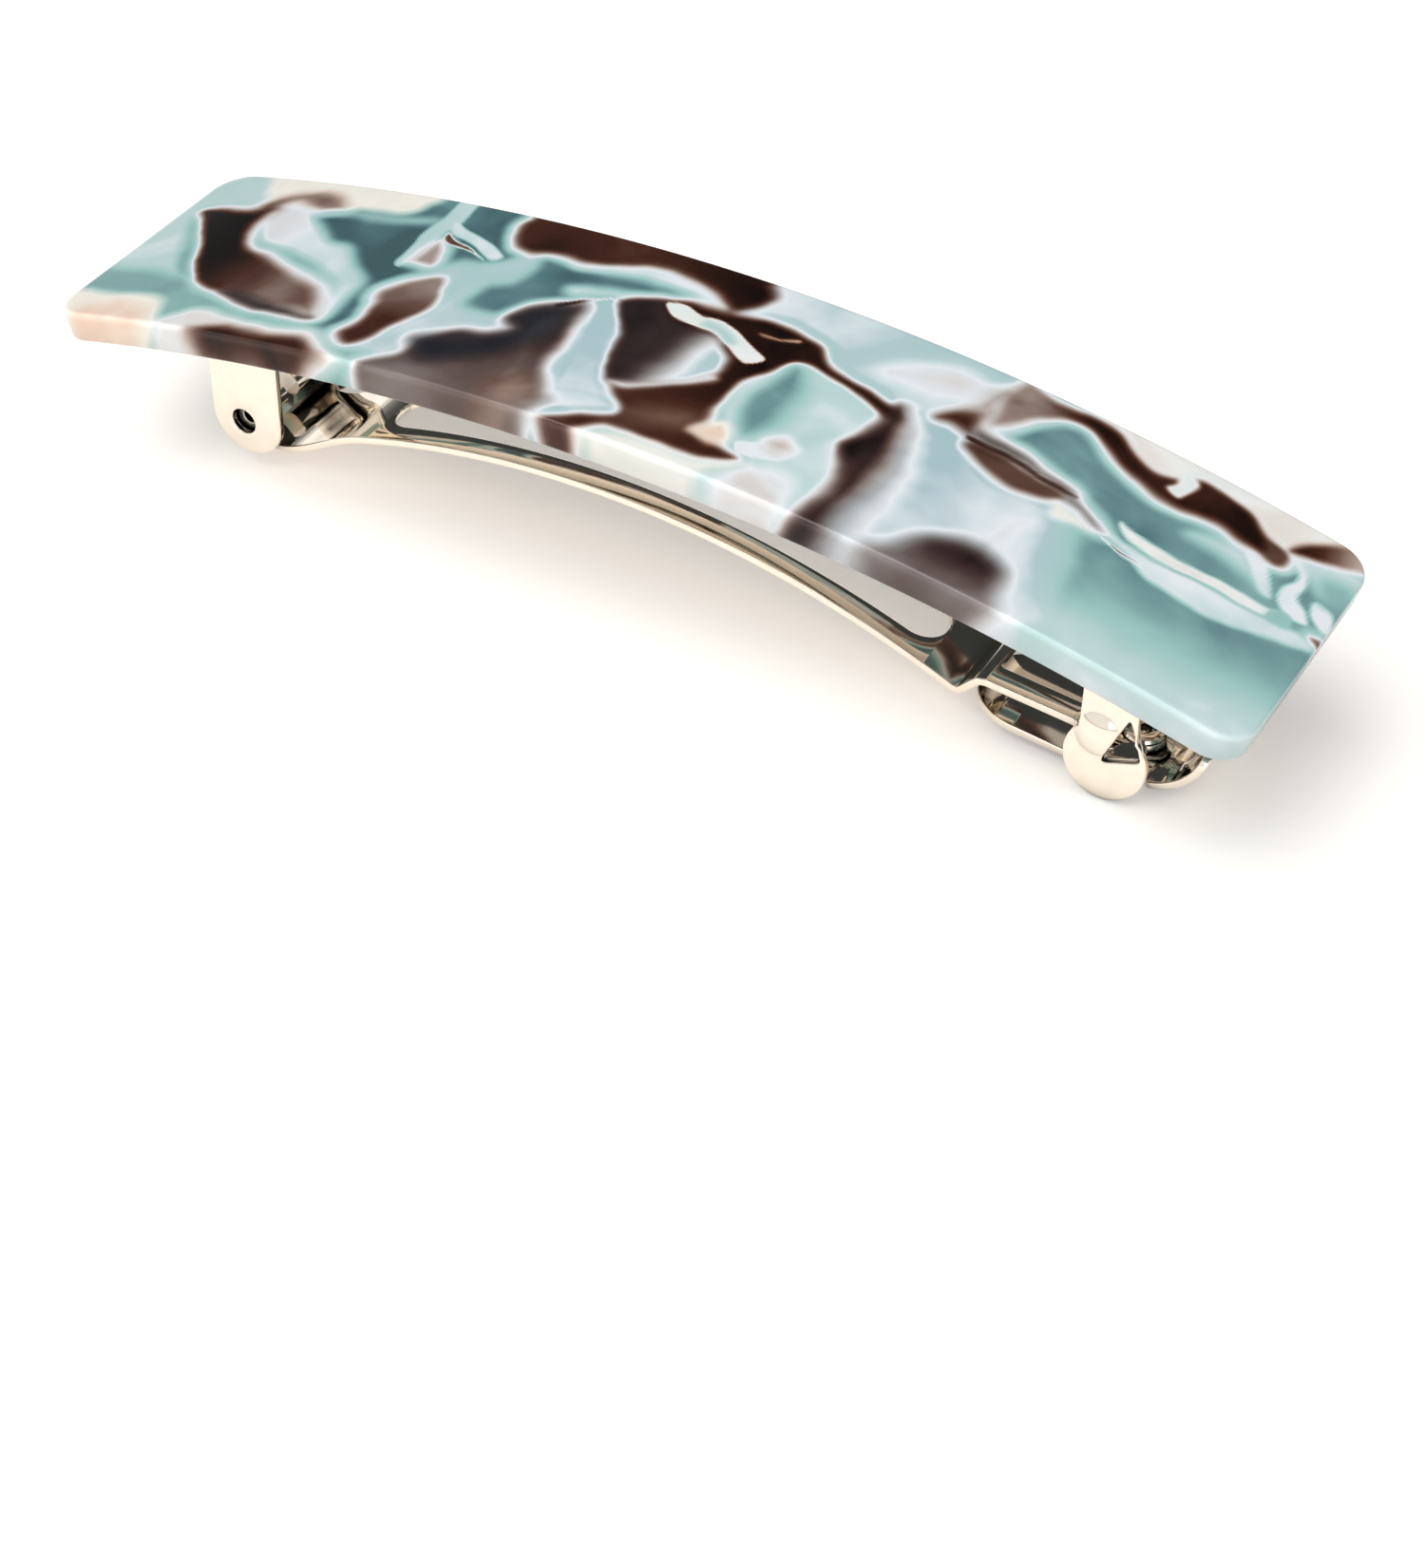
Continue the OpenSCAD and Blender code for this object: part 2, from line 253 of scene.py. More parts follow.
def pierced(outline, hole, y_low, y_high, burr, rows, press=None):
    """Upright plate in XZ with one hole: rings of points from the hole's loop to the outline's loop, carried
    round the edge profile of each. press(x, z) gives how far the sheet is pushed along Y at a point."""
    insets, rises = edge_profile(y_high - y_low, burr)
    part = np.linspace(0, 1, rows + 1)
    inner = slice(1, -1)
    rings = []
    curl = list(zip(insets[inner], rises[inner]))
    for share, inset, rise in (
        [(p, burr, rises[0]) for p in part] + [(1, i, r) for i, r in curl]
        + [(p, burr, rises[-1]) for p in part[::-1]] + [(0, i, -r) for i, r in curl]
    ):
        flat = grown(hole, inset) * (1 - share) + grown(outline, -inset) * share
        y = np.full(len(flat), (y_low + y_high) / 2 + rise)
        if press is not None:
            y = y + press(flat[:, 0], flat[:, 1])
        rings.append(np.column_stack([flat[:, 0], y, flat[:, 1]]))
    points = np.array(rings).reshape(-1, 3)
    count = len(outline)
    quads = grid_faces(len(rings), count)
    closing = np.column_stack([
        (len(rings) - 1) * count + np.arange(count), np.arange(count), (np.arange(count) + 1) % count,
        (len(rings) - 1) * count + (np.arange(count) + 1) % count])
    return points, np.vstack([quads, closing])


def turned(profile, place, axis, count=48):
    """Turned piece: radius and height pairs swept round an axis through a place."""
    profile = np.asarray(profile, float)
    axis = np.asarray(axis, float) / np.linalg.norm(axis)
    side = np.cross(axis, [0.0, 1.0, 0.0] if abs(axis[1]) < 0.9 else [1.0, 0.0, 0.0])
    side /= np.linalg.norm(side)
    other = np.cross(axis, side)
    turn = np.linspace(0, 2 * math.pi, count, endpoint=False)
    ring = np.cos(turn)[:, None] * side + np.sin(turn)[:, None] * other
    points = np.asarray(place) + profile[:, 0, None, None] * ring + profile[:, 1, None, None] * axis
    return points.reshape(-1, 3), grid_faces(len(profile), count)


# Points within twice the first distance are one, and an edge shorter than it is dissolved: it is a
# thousandth of a millimetre. A fold beyond 40 degrees is a sharp edge.
DOUBLE, SHARP = 1e-6, math.radians(40)


def solid(name, parts, body, node, material):
    """One piece out of point and quad arrays in millimetres, with doubles merged and faces turned out. It
    rides on its body, replaces its node and states its material slot."""
    points, quads, count = [], [], 0
    for p, q in parts:
        points.append(p)
        quads.append(q + count)
        count += len(p)
    points, quads = np.vstack(points), np.vstack(quads)
    mesh = bpy.data.meshes.new(name)
    mesh.vertices.add(len(points))
    mesh.vertices.foreach_set("co", (points * MM).ravel())
    mesh.loops.add(quads.size)
    mesh.loops.foreach_set("vertex_index", quads.ravel())
    mesh.polygons.add(len(quads))
    mesh.polygons.foreach_set("loop_start", np.arange(len(quads)) * 4)
    mesh.update(calc_edges=True)
    work = bmesh.new()
    work.from_mesh(mesh)
    bmesh.ops.remove_doubles(work, verts=work.verts, dist=2 * DOUBLE)
    bmesh.ops.dissolve_degenerate(work, edges=work.edges, dist=DOUBLE)
    bmesh.ops.recalc_face_normals(work, faces=work.faces)
    work.to_mesh(mesh)
    work.free()
    mesh.shade_smooth()
    mesh.set_sharp_from_angle(angle=SHARP)
    piece = bpy.data.objects.new(name, mesh)
    bpy.context.scene.collection.objects.link(piece)
    mesh.materials.append(material)
    level = piece.modifiers.new("Weighted normals", "WEIGHTED_NORMAL")
    level.keep_sharp = True
    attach(piece, body)
    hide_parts(node)
    return piece


# ---------------------------------------------------------------- materials

def add(tree, kind, settings=(), links=(), stops=(), **attributes):
    """Adds a node: attributes are set on it, settings on its inputs, links join other outputs to it, and
    stops are the places and colours of its ramp."""
    node = tree.nodes.new(kind)
    for key, value in attributes.items():
        setattr(node, key, value)
    for key, value in dict(settings).items():
        node.inputs[key].default_value = value
    for key, output in dict(links).items():
        tree.links.new(output, node.inputs[key])
    for spare in stops[2:]:
        node.color_ramp.elements.new(spare[0])
    for element, (place, colour) in zip(node.color_ramp.elements if stops else (), sorted(stops)):
        element.position = place
        element.color = (*colour[:3], 1)
    return node


def fresh(name):
    """A new material's node tree with its output node alone, and the material."""
    material = bpy.data.materials.new(name)
    material.use_nodes = True
    tree = material.node_tree
    tree.nodes.clear()
    return material, tree, add(tree, "ShaderNodeOutputMaterial")


def between(a, b, t):
    """Colour part of the way from a to b."""
    return tuple(x + (y - x) * t for x, y in zip(a, b))


def acetate(s):
    """Cellulose acetate sheet, cut from a block of pressed chips and tumble-polished. Clear and milky chips
    meet in soft and crisp edges under a wet-looking gloss. The piece's tone and warmth attributes place the
    chips, its depth attribute gives the sides and underside painted shade and a weaker coat, and two
    noises stand for the pigment's clouds and veils."""
    material, tree, out = fresh("polished_cellulose_acetate")
    tone, warmth, depth = (add(tree, "ShaderNodeAttribute", attribute_name=name).outputs["Fac"]
                           for name in ("tone", "warmth", "depth"))
    place = add(tree, "ShaderNodeTexCoord").outputs["Object"]
    # Pigment clouds are about 3 mm across, with finer ones inside them down to about 0.2 mm.
    cloud = add(tree, "ShaderNodeTexNoise", {"Scale": 330.0, "Detail": 4.0, "Roughness": 0.6,
                                             "Distortion": 0.4}, {"Vector": place})
    drift = add(tree, "ShaderNodeMapRange", {"To Min": -0.022, "To Max": 0.022},
                {"Value": cloud.outputs["Fac"]})
    # Veils of thicker and thinner pigment are about 8 mm across, stretched by the flow.
    veil = add(tree, "ShaderNodeTexNoise", {"Scale": 130.0, "Detail": 2.0, "Roughness": 0.45,
                                            "Distortion": 1.2}, {"Vector": place})
    veil_drift = add(tree, "ShaderNodeMapRange", {"From Min": 0.3, "From Max": 0.7, "To Min": -0.05,
                                                  "To Max": 0.025}, {"Value": veil.outputs["Fac"]})
    both = add(tree, "ShaderNodeMath", links={0: drift.outputs["Result"], 1: veil_drift.outputs["Result"]},
               operation="ADD")
    mixed = add(tree, "ShaderNodeMath", links={0: tone, 1: both.outputs["Value"]},
                operation="ADD", use_clamp=True).outputs["Value"]
    plain = add(tree, "ShaderNodeValToRGB", links={"Fac": mixed}, stops=[
        (0.00, between(s.teal, s.black, 0.45)), (0.07, s.teal), (0.16, between(s.teal, s.aqua, 0.45)),
        (0.28, s.aqua), (0.42, between(s.aqua, s.white, 0.42)), (0.49, s.white),
        (0.58, linear("#CFCAC8")), (0.68, linear("#9A8A82")), (0.78, linear("#664C42")),
        (0.88, s.brown), (0.95, between(s.brown, s.black, 0.7)), (1.00, s.black)])
    cool = add(tree, "ShaderNodeValToRGB", links={"Fac": mixed}, stops=[
        (0.00, s.teal), (0.28, s.aqua), (0.42, linear("#A6C0C8")), (0.50, s.white),
        (0.60, linear("#A9B1B8")), (0.72, linear("#747A80")), (0.84, linear("#3C4044")), (0.93, s.slate),
        (1.00, linear("#0A0A0C"))])
    warm = add(tree, "ShaderNodeValToRGB", links={"Fac": mixed}, stops=[
        (0.00, linear("#B9C9BE")), (0.30, linear("#DDE4D6")), (0.50, s.cream), (0.62, s.peach),
        (0.74, linear("#AE8C74")), (0.86, linear("#5A2E20")), (1.00, s.black)])
    chill = add(tree, "ShaderNodeMapRange", {"From Min": 0.0, "From Max": -1.0}, {"Value": warmth})
    heat = add(tree, "ShaderNodeMapRange", {"From Min": 0.0, "From Max": 1.0}, {"Value": warmth})
    # A colour Mix node takes its factor and its two colours at inputs 0, 6 and 7, and gives output 2.
    cooled = add(tree, "ShaderNodeMix", links={0: chill.outputs["Result"], 6: plain.outputs["Color"],
                                               7: cool.outputs["Color"]}, data_type="RGBA")
    colour = add(tree, "ShaderNodeMix", links={0: heat.outputs["Result"], 6: cooled.outputs[2],
                                               7: warm.outputs["Color"]}, data_type="RGBA")
    # The sides are given a deeper colour and a weaker coat than the face. Both are given.
    # The deeper colour on the sides and underside is painted shade.
    shade = add(tree, "ShaderNodeValToRGB", links={"Fac": depth}, stops=[
        (0.0, (1, 1, 1)), (0.22, (0.8, 0.79, 0.78)), (1.0, (0.7, 0.69, 0.68))])
    gloss = add(tree, "ShaderNodeMapRange", {"From Min": 0.12, "From Max": 0.3, "To Min": 0.6,
                                             "To Max": 0.12}, {"Value": depth})
    deep = add(tree, "ShaderNodeMix", {0: 1.0}, {6: colour.outputs[2], 7: shade.outputs["Color"]},
               data_type="RGBA", blend_type="MULTIPLY")
    # Polishing leaves a swell about 6 mm long.
    swell = add(tree, "ShaderNodeTexNoise", {"Scale": 160.0, "Detail": 2.0}, {"Vector": place})
    bump = add(tree, "ShaderNodeBump", {"Strength": 0.06, "Distance": 0.0004},
               {"Height": swell.outputs["Fac"]})
    shader = add(tree, "ShaderNodeBsdfPrincipled", {
        "Roughness": 0.22, "IOR": 1.48, "Specular IOR Level": 0.12, "Coat Roughness": 0.04,
        "Coat IOR": 1.48, "Subsurface Weight": 0.06, "Subsurface Scale": 0.0006,
    }, {"Base Color": deep.outputs[2], "Coat Weight": gloss.outputs["Result"],
        "Normal": bump.outputs["Normal"], "Coat Normal": bump.outputs["Normal"]})
    tree.links.new(shader.outputs["BSDF"], out.inputs["Surface"])
    return material


def plated(name, colour, rough):
    """Bright nickel plating on stamped steel: a mirror with a warm grey tint, slightly uneven in gloss where
    the tumbling shows through, with a ripple from rolling the sheet, and painted shade near black in its
    holes and corners."""
    material, tree, out = fresh(name)
    place = add(tree, "ShaderNodeTexCoord").outputs["Object"]
    # Rolling ripple runs a few millimetres from crest to crest.
    ripple = add(tree, "ShaderNodeTexNoise", {"Scale": 260.0, "Detail": 2.0}, {"Vector": place})
    # Haze patches from tumbling are about 1 mm across.
    haze = add(tree, "ShaderNodeTexNoise", {"Scale": 900.0, "Detail": 3.0}, {"Vector": place})
    gloss = add(tree, "ShaderNodeMapRange", {"To Min": rough * 0.7, "To Max": rough * 1.4},
                {"Value": haze.outputs["Fac"]})
    stain = add(tree, "ShaderNodeValToRGB", links={"Fac": haze.outputs["Fac"]}, stops=[
        (0.35, between(colour, (0.3, 0.27, 0.22), 0.06)), (0.62, colour)])
    # Holes and corners within 1.8 mm of another face are darkened. This is a given look.
    # Painted shade: ambient occlusion mixes the plating towards near black in holes, corners and gaps.
    near = add(tree, "ShaderNodeAmbientOcclusion", {"Distance": 0.0018}, samples=6)
    unshaded = add(tree, "ShaderNodeMapRange", {"From Min": 0.35, "From Max": 0.88, "To Min": 0.04},
                {"Value": near.outputs["AO"]})
    base = add(tree, "ShaderNodeMix", {6: (0.008, 0.008, 0.007, 1)},
               {0: unshaded.outputs["Result"], 7: stain.outputs["Color"]}, data_type="RGBA")
    bump = add(tree, "ShaderNodeBump", {"Strength": 0.25, "Distance": 0.00006},
               {"Height": ripple.outputs["Fac"]})
    shader = add(tree, "ShaderNodeBsdfPrincipled", {"Metallic": 1.0}, {
        "Base Color": base.outputs[2], "Roughness": gloss.outputs["Result"],
        "Normal": bump.outputs["Normal"]})
    tree.links.new(shader.outputs["BSDF"], out.inputs["Surface"])
    return material


def cured_glue(colour):
    """Cured epoxy film, poured: yellowish, half clear, glossy with small clouding."""
    material, tree, out = fresh("cured_epoxy_film")
    place = add(tree, "ShaderNodeTexCoord").outputs["Object"]
    # The clouds in the film are about 2 mm across.
    cloud = add(tree, "ShaderNodeTexNoise", {"Scale": 500.0, "Detail": 3.0}, {"Vector": place})
    shade = add(tree, "ShaderNodeValToRGB", links={"Fac": cloud.outputs["Fac"]}, stops=[
        (0.3, between(colour, (0.1, 0.08, 0.05), 0.2)), (0.7, colour)])
    shader = add(tree, "ShaderNodeBsdfPrincipled", {"Roughness": 0.3, "IOR": 1.55},
                 {"Base Color": shade.outputs["Color"]})
    tree.links.new(shader.outputs["BSDF"], out.inputs["Surface"])
    return material


def acrylic(colour):
    """Matt white acrylic sweep, lit from below as well, with a barely visible tooth."""
    material, tree, out = fresh("backlit_matt_acrylic")
    place = add(tree, "ShaderNodeTexCoord").outputs["Object"]
    # The tooth is about 1 mm from bump to bump.
    tooth = add(tree, "ShaderNodeTexNoise", {"Scale": 900.0, "Detail": 2.0}, {"Vector": place})
    bump = add(tree, "ShaderNodeBump", {"Strength": 0.04, "Distance": 0.0001},
               {"Height": tooth.outputs["Fac"]})
    shader = add(tree, "ShaderNodeBsdfPrincipled", {
        "Base Color": (*colour, 1), "Roughness": 0.9, "Specular IOR Level": 0.1,
        "Emission Color": (1, 0.945, 0.9, 1), "Emission Strength": 0.25,
    }, {"Normal": bump.outputs["Normal"]})
    tree.links.new(shader.outputs["BSDF"], out.inputs["Surface"])
    return material


# ---------------------------------------------------------------- marbling

# One chip of the marbling. Its outline is drawn in millimetres on the plate's face: along the curve towards
# the latch, then across towards the rear. Tone runs from 0, clear teal, through 0.5, white, to 1, black
# brown; warmth from -1, slate, to 1, cream. The edge fades over a width that grows to soft on the side that
# faces toward. A fade gives two places with a tone each, and the tone runs from one to the other.
Chip = namedtuple("Chip", "outline tone warmth edge soft toward fade",
                  defaults=(0, 0.35, None, (0, 0), None))

CHIPS = [
    # Left end
    Chip([(-47.6, -2.4), (-42, -3.6), (-37, -5.6), (-30, -7.2), (-24, -7.8), (-20, -11.6), (-47.6, -11.6)],
         .2, edge=.9),
    Chip([(-47.5, 11.5), (-38.5, 11.5), (-39.5, 8.5), (-41, 6.2), (-45.2, 5.2), (-43, .5), (-40, -4.2),
          (-38, -5), (-42, -4), (-47.5, -2.7)], .42, edge=1.0),
    Chip([(-47.6, 11.6), (-45.6, 11.6), (-46.4, 10), (-47.6, 9)], .6, edge=1.0),
    Chip([(-41.5, 11.5), (-28, 11.5), (-27.6, 9.5), (-28.5, 8), (-31, 7.6), (-34.5, 7.4), (-37, 6.6),
          (-40, 7.2), (-41.8, 9)], .52, .7, .75),
    Chip([(-40.6, 6.6), (-39.5, 8.3), (-37.3, 9.3), (-35, 9), (-33.2, 7.6), (-33.6, 6.9), (-35.6, 6.6),
          (-37, 7.2), (-38, 7.6), (-39, 6.8), (-39.8, 6)], .76, .1, 1.1),
    Chip([(-34.5, 6.6), (-31, 6.4), (-28, 6.7), (-25.6, 7.2), (-25.5, 7.9), (-27, 7.8), (-30, 7.2),
          (-33, 7.2)], .3, edge=.9),
    Chip([(-39, 6.6), (-37.5, 6.9), (-35.5, 6.3), (-33.5, 4.5), (-31.5, 3), (-29.5, 2.6), (-27.8, .8),
          (-25.8, -1), (-25.1, -3), (-25, -6.9), (-26, -7), (-26.5, -4.5), (-27.5, -2.2), (-30, -1),
          (-33, .4), (-36, 1), (-38.3, 3), (-39, 5)], .5, edge=.85,
         fade=((-38, 4, .55), (-29, 2, .43))),
    Chip([(-45, 5.1), (-41, 5.8), (-39.2, 6.4), (-39.2, 5), (-38.9, 3), (-37, .4), (-34, -.5),
          (-31, -1.9), (-28.2, -2.8), (-26.8, -4.8), (-26.1, -6.8), (-27.5, -6.9), (-31, -6.7), (-35, -6),
          (-37.8, -5), (-39.5, -3), (-41.5, 0), (-43.5, 3)], 1, 0, .55, 2.4, (.7, .7),
         ((-40.5, 0, 1.04), (-29, -4, .76))),
    Chip([(-35, -5.6), (-31.5, -5.8), (-28.5, -6.6), (-26, -7), (-28, -7.4), (-31, -7.3), (-34, -6.5)],
         .9, -.6, .7),
    Chip([(-47.5, -8), (-44, -7.7), (-40, -7.5), (-38.6, -8), (-37.9, -9.5), (-37.8, -11.5),
          (-47.5, -11.5)], .52, .8, .75),
    Chip([(-45, -11.6), (-44, -9.6), (-41, -8.6), (-39.2, -9.6), (-39.2, -11.6)], .62, 1, 1.3),
    Chip([(-36.3, -11.5), (-35.8, -9), (-34, -8.2), (-31, -8.8), (-28, -8.8), (-25, -8.3), (-22.8, -9.7),
          (-21.4, -11.5)], .52, .2, .75),
    Chip([(-33.8, -11.6), (-32.5, -10.3), (-30.5, -10), (-28, -10), (-25.5, -9.6), (-23.8, -10.4),
          (-22.9, -11.6)], .95, 0, 1.0),
    # Glassy splinters by the left end
    Chip([(-25.2, 11.5), (-23.9, 11.5), (-23.6, 8), (-23.8, 6.5), (-24, 1.7), (-24.8, 1.6), (-25.3, 5),
          (-25.3, 7.6)], .42, edge=.17),
    Chip([(-23.6, 5.6), (-22.5, 4.5), (-22, 2.2), (-23, 1.8), (-24.1, 2.3)], .7, edge=.75),
    Chip([(-23.5, 6.6), (-22.6, 5.9), (-21, 5.2), (-19, 4.3), (-20, 4.6), (-22.5, 5.2), (-23.4, 5.9)],
         .85, edge=.13),
    Chip([(-24, 8), (-22.5, 7.4), (-20.5, 6.5), (-18.6, 5.6), (-18, 5), (-18.5, 4.4), (-20, 5.1),
          (-22, 6.1), (-23.6, 6.8)], .47, edge=.13),
    Chip([(-18, 4.2), (-16.5, 6), (-15.3, 5.5), (-15.2, 2.5), (-16.8, 1.2), (-17.1, -.8), (-16.2, -1.8),
          (-13.2, -1.9), (-12, -2.7), (-13, -3.8), (-15.5, -4.6), (-16.5, -6), (-18, -9), (-19.5, -9.8),
          (-21.2, -9), (-20, -6), (-18.8, -3), (-18.7, -.5), (-20, 1), (-21.5, 1.8), (-20, 3.6)],
         .42, -.5, .85),
    Chip([(-23.8, -2), (-22, .3), (-20.3, 1.2), (-19.3, -.5), (-18.8, -2.5), (-19.8, -5.5), (-21.3, -9),
          (-23.2, -8.1), (-22.7, -6), (-23, -4)], .8, 0, .55, 1.1, (-1, 0),
         ((-22, -8, .92), (-20.5, .5, .72))),
    # Top middle
    Chip([(-19.2, 10.3), (-19, 8.2), (-18.2, 6.8), (-16.5, 6.3), (-14.5, 6.7), (-12, 6.6), (-10, 7.1),
          (-7.5, 8), (-5, 8.2), (-3, 7.6), (-1, 6.5), (0, 6.1), (1.2, 6.8), (1.9, 8.5), (2.3, 11.6),
          (-17, 11.6)], .88, 0, .75, 1.0, (0, -1), ((-8, 9.4, .91), (1.5, 9.5, .98))),
    Chip([(-12.5, 6.2), (-10, 6.3), (-7, 6.8), (-4, 6.7), (-1.5, 6), (-.3, 6.4), (-2, 7.5), (-4.5, 8.4),
          (-7, 8.3), (-10, 7.2)], .5, edge=1.0),
    Chip([(-11.5, 3.6), (-9, 4.4), (-7, 5), (-5.6, 5.6), (-5, 5.2), (-6.2, 4.6), (-8, 3.9), (-9.5, 3.2),
          (-11, 2.6)], .5, edge=.9),
    Chip([(-11, 1.2), (-9.8, 2.6), (-8.2, 3.6), (-7.2, 3.9), (-8.5, 3.2), (-9.8, 2), (-10.6, 1)],
         .93, edge=.13),
    # The dark swirl, and the chips inside it
    Chip([(-5.2, 5), (-3, 5.9), (0, 6.1), (2.5, 6.7), (5, 6.7), (7.2, 6), (8.6, 4.6), (11, 3.8),
          (14.8, 2.9), (15.2, 1.5), (13, 2), (9, 3.2), (7, 3.2), (6, 1.5), (5, -.5), (4.7, -3.5), (5, -5.5),
          (4.5, -7), (7, -7.4), (8.8, -8), (7, -9.2), (4.5, -9.7), (1, -9.5), (-1, -10), (-2.4, -11.6),
          (-5.6, -11.6), (-3, -9.5), (-.6, -8), (-3, -5.3), (-6, 0), (-7, 3.5)], .93, edge=.75,
         fade=((-2, -8, .89), (4, 5, 1.0))),
    Chip([(.5, -7.4), (2, -5.6), (3.8, -5), (4.8, -6), (3.4, -7.6)], .8, .3, 1.5),
    Chip([(-9.6, 2.6), (-8.5, 3.3), (-7.4, 3.7), (-6.5, 2), (-5.2, .3), (-4.6, -1.5), (-4.2, -4),
          (-3.4, -5.2), (-2, -6.5), (-.6, -7.9), (-2.5, -8.8), (-4.8, -9.9), (-6.5, -11.6), (-7, -10),
          (-5.6, -8.5), (-6.6, -5.5), (-7.5, -2.5), (-8.5, .3)], .47, -.8, .7,
         fade=((-8, 2.5, .39), (-4, -8, .49))),
    Chip([(-19, -11.6), (-17.5, -8.5), (-16.5, -6), (-15.5, -4.6), (-13, -3.9), (-11.9, -2.7),
          (-13.3, -1.7), (-12.5, 0), (-10.5, 1.5), (-9.3, 2.2), (-8.6, .3), (-8, -2.5), (-7.3, -5.5),
          (-6, -8), (-5.5, -9.2), (-7, -11.6)], .9, -.35, .7, 1.3, (1, 0),
         ((-11, 0, .94), (-11, -10.5, .76))),
    Chip([(-17.5, -6.8), (-15.3, -5.2), (-13, -4.2), (-12, -2.6), (-12.9, -1.6), (-12, 0), (-10.4, 1.2),
          (-9.4, .6), (-9.6, -3), (-12, -6.4), (-15.5, -8.6)], .93, -.95, 1.4),
    Chip([(-9.8, -9), (-8.6, -7.2), (-7, -8), (-6.4, -9.8), (-7.6, -11.4), (-9.4, -11)], .74, .2, 1.8),
    Chip([(-7.2, 3.6), (-6, 4.6), (-4.5, 4.9), (-3.2, 3.5), (.3, 3.2), (1.5, 2.3), (2.6, 1.3), (3, -.3),
          (2.2, -1.6), (1, -3), (-1, -4.3), (-3, -5.1), (-3.9, -4), (-4.3, -1.8), (-5, .2), (-6.2, 1.8)],
         .9, -.5, .7, fade=((-2.5, 0, .95), (1.9, -.6, .44))),
    Chip([(-4.5, 4.8), (-3.3, 5.3), (-1.5, 4.9), (0, 5), (1.8, 4.2), (3.6, 3.3), (4.7, 2.5), (4.2, 1.6),
          (3.4, 1.5), (2, 2.4), (.4, 3.2), (-1.5, 3.5), (-3.3, 3.8)], .5, .3, .13),
    Chip([(-.8, 4.4), (.6, 4.1), (1.9, 3.2), (1.4, 2.9), (.2, 3.6), (-.9, 3.9)], .34, 0, .55),
    Chip([(2.3, -1), (3.3, -1.2), (2.6, -2.1), (1, -3.4), (-.6, -4.6), (-2, -5.3), (-3, -5), (-1, -4.2),
          (1, -2.8)], .55, edge=.55),
    Chip([(3, 5), (4.5, 5.3), (5.6, 5.9), (5.7, 5.5), (4.5, 5), (3.4, 4.8)], .72, 1, .17),
    # The pale chip right of the swirl
    Chip([(7, 3.2), (9, 3.3), (11.5, 2.4), (13.8, 1.6), (14.3, .8), (14, -1), (13.3, -2.8), (14.3, -4.6),
          (14.8, -7), (14.4, -9.5), (14, -11.6), (6, -11.6), (8, -9.8), (9.5, -8.4), (7.4, -6.3),
          (5.7, -4.8), (4.8, -3), (5, -.5), (5.9, 1.6)], .43, edge=.55),
    Chip([(7.1, 2.9), (8, 2.2), (8.8, 0), (9, -3), (8, -5.5), (7.2, -5.3), (6.2, -3.5), (6.1, -1),
          (6.5, 1.5)], .12, 0, .7, 1.7, (1, 0)),
    Chip([(9.6, -8.6), (12.6, -8), (13.6, -9.6), (13, -11.6), (9, -11.6)], .56, .1, 1.3),
    Chip([(-2, -11.6), (-.5, -10.2), (1, -9.7), (4, -9.7), (6, -9.6), (8.5, -8.6), (9.6, -8.3), (8, -10),
          (6, -11.6)], .5, .5, .7),
    Chip([(7.8, -6.5), (9, -5.7), (10, -6), (11.4, -5.7), (11, -6.8), (9.5, -7.4), (8.4, -7.4)],
         .5, edge=.17),
    Chip([(9.4, -5.2), (10.3, -4.4), (11.2, -5.2), (10.3, -5.9)], .66, .2, 1.0),
    Chip([(4.4, -7.1), (5.5, -5.8), (6.2, -5.2), (7.4, -6.6), (6.3, -7.7), (5, -7.4)], .6, .9, .7),
    # Right of the middle
    Chip([(2.4, 11.6), (1.9, 9), (.8, 6.6), (2.5, 6.9), (5, 7.1), (7.5, 6.3), (8.7, 4.9), (11, 4.1),
          (14.8, 3.1), (16.8, 3.4), (17.7, 5), (18.6, 6.8), (19.6, 9), (20.2, 11.6)],
         .42, -.6, .75, 1.0, (-1, 0), ((6, 9, .48), (15.5, 7.5, .42))),
    Chip([(12, 5.6), (13.5, 8), (16.5, 9.6), (18.6, 8.6), (17.4, 5.8)], .56, .1, 2.0),
    Chip([(15.5, 3.3), (17, 3.6), (20, 3.3), (20.8, 1.5), (23, .1), (27, .3), (28.5, 1), (30, .4),
          (31, -2), (31, -11.6), (16, -11.6), (16.4, -8), (17.2, -5), (16.8, -1), (16.2, 1.5)],
         .46, -.9, edge=.75, fade=((15.5, 1, .37), (23.5, -3, .5))),
    Chip([(14.4, 3), (15, 3.2), (16, 1.5), (16.9, -1), (17.3, -5), (16.8, -8), (17, -11.6), (14.6, -11.6),
          (14.9, -8), (14.6, -5), (13.4, -2.9), (14, -.8), (14.4, 1)], .97, -.35, .5, 3.2, (1, 0)),
    Chip([(19.9, -11.6), (21, -9.4), (23, -7.3), (25.4, -6.3), (27.6, -7.3), (28.6, -9.2), (29, -11.6)],
         .9, -.4, 1.3, fade=((25, -7.2, .96), (25, -10.8, .76))),
    Chip([(20, 2.5), (21, 3.1), (24, 2.7), (26.5, 2.4), (28.2, 2), (28.2, 1.2), (27, .5), (24.5, .2),
          (22.3, .6), (20.8, 1.5)], .86, 0, .75),
    Chip([(20.3, 3.3), (24, 3), (28, 2.4), (28, 2), (24, 2.6), (20.4, 2.9)], .97, 0, .17),
    # This thin white sliver is a painted highlight: a glint drawn into the marbling as a chip.
    Chip([(24.5, 3.1), (26, 3), (27, 2.7), (26, 2.7)], .5, edge=.1),
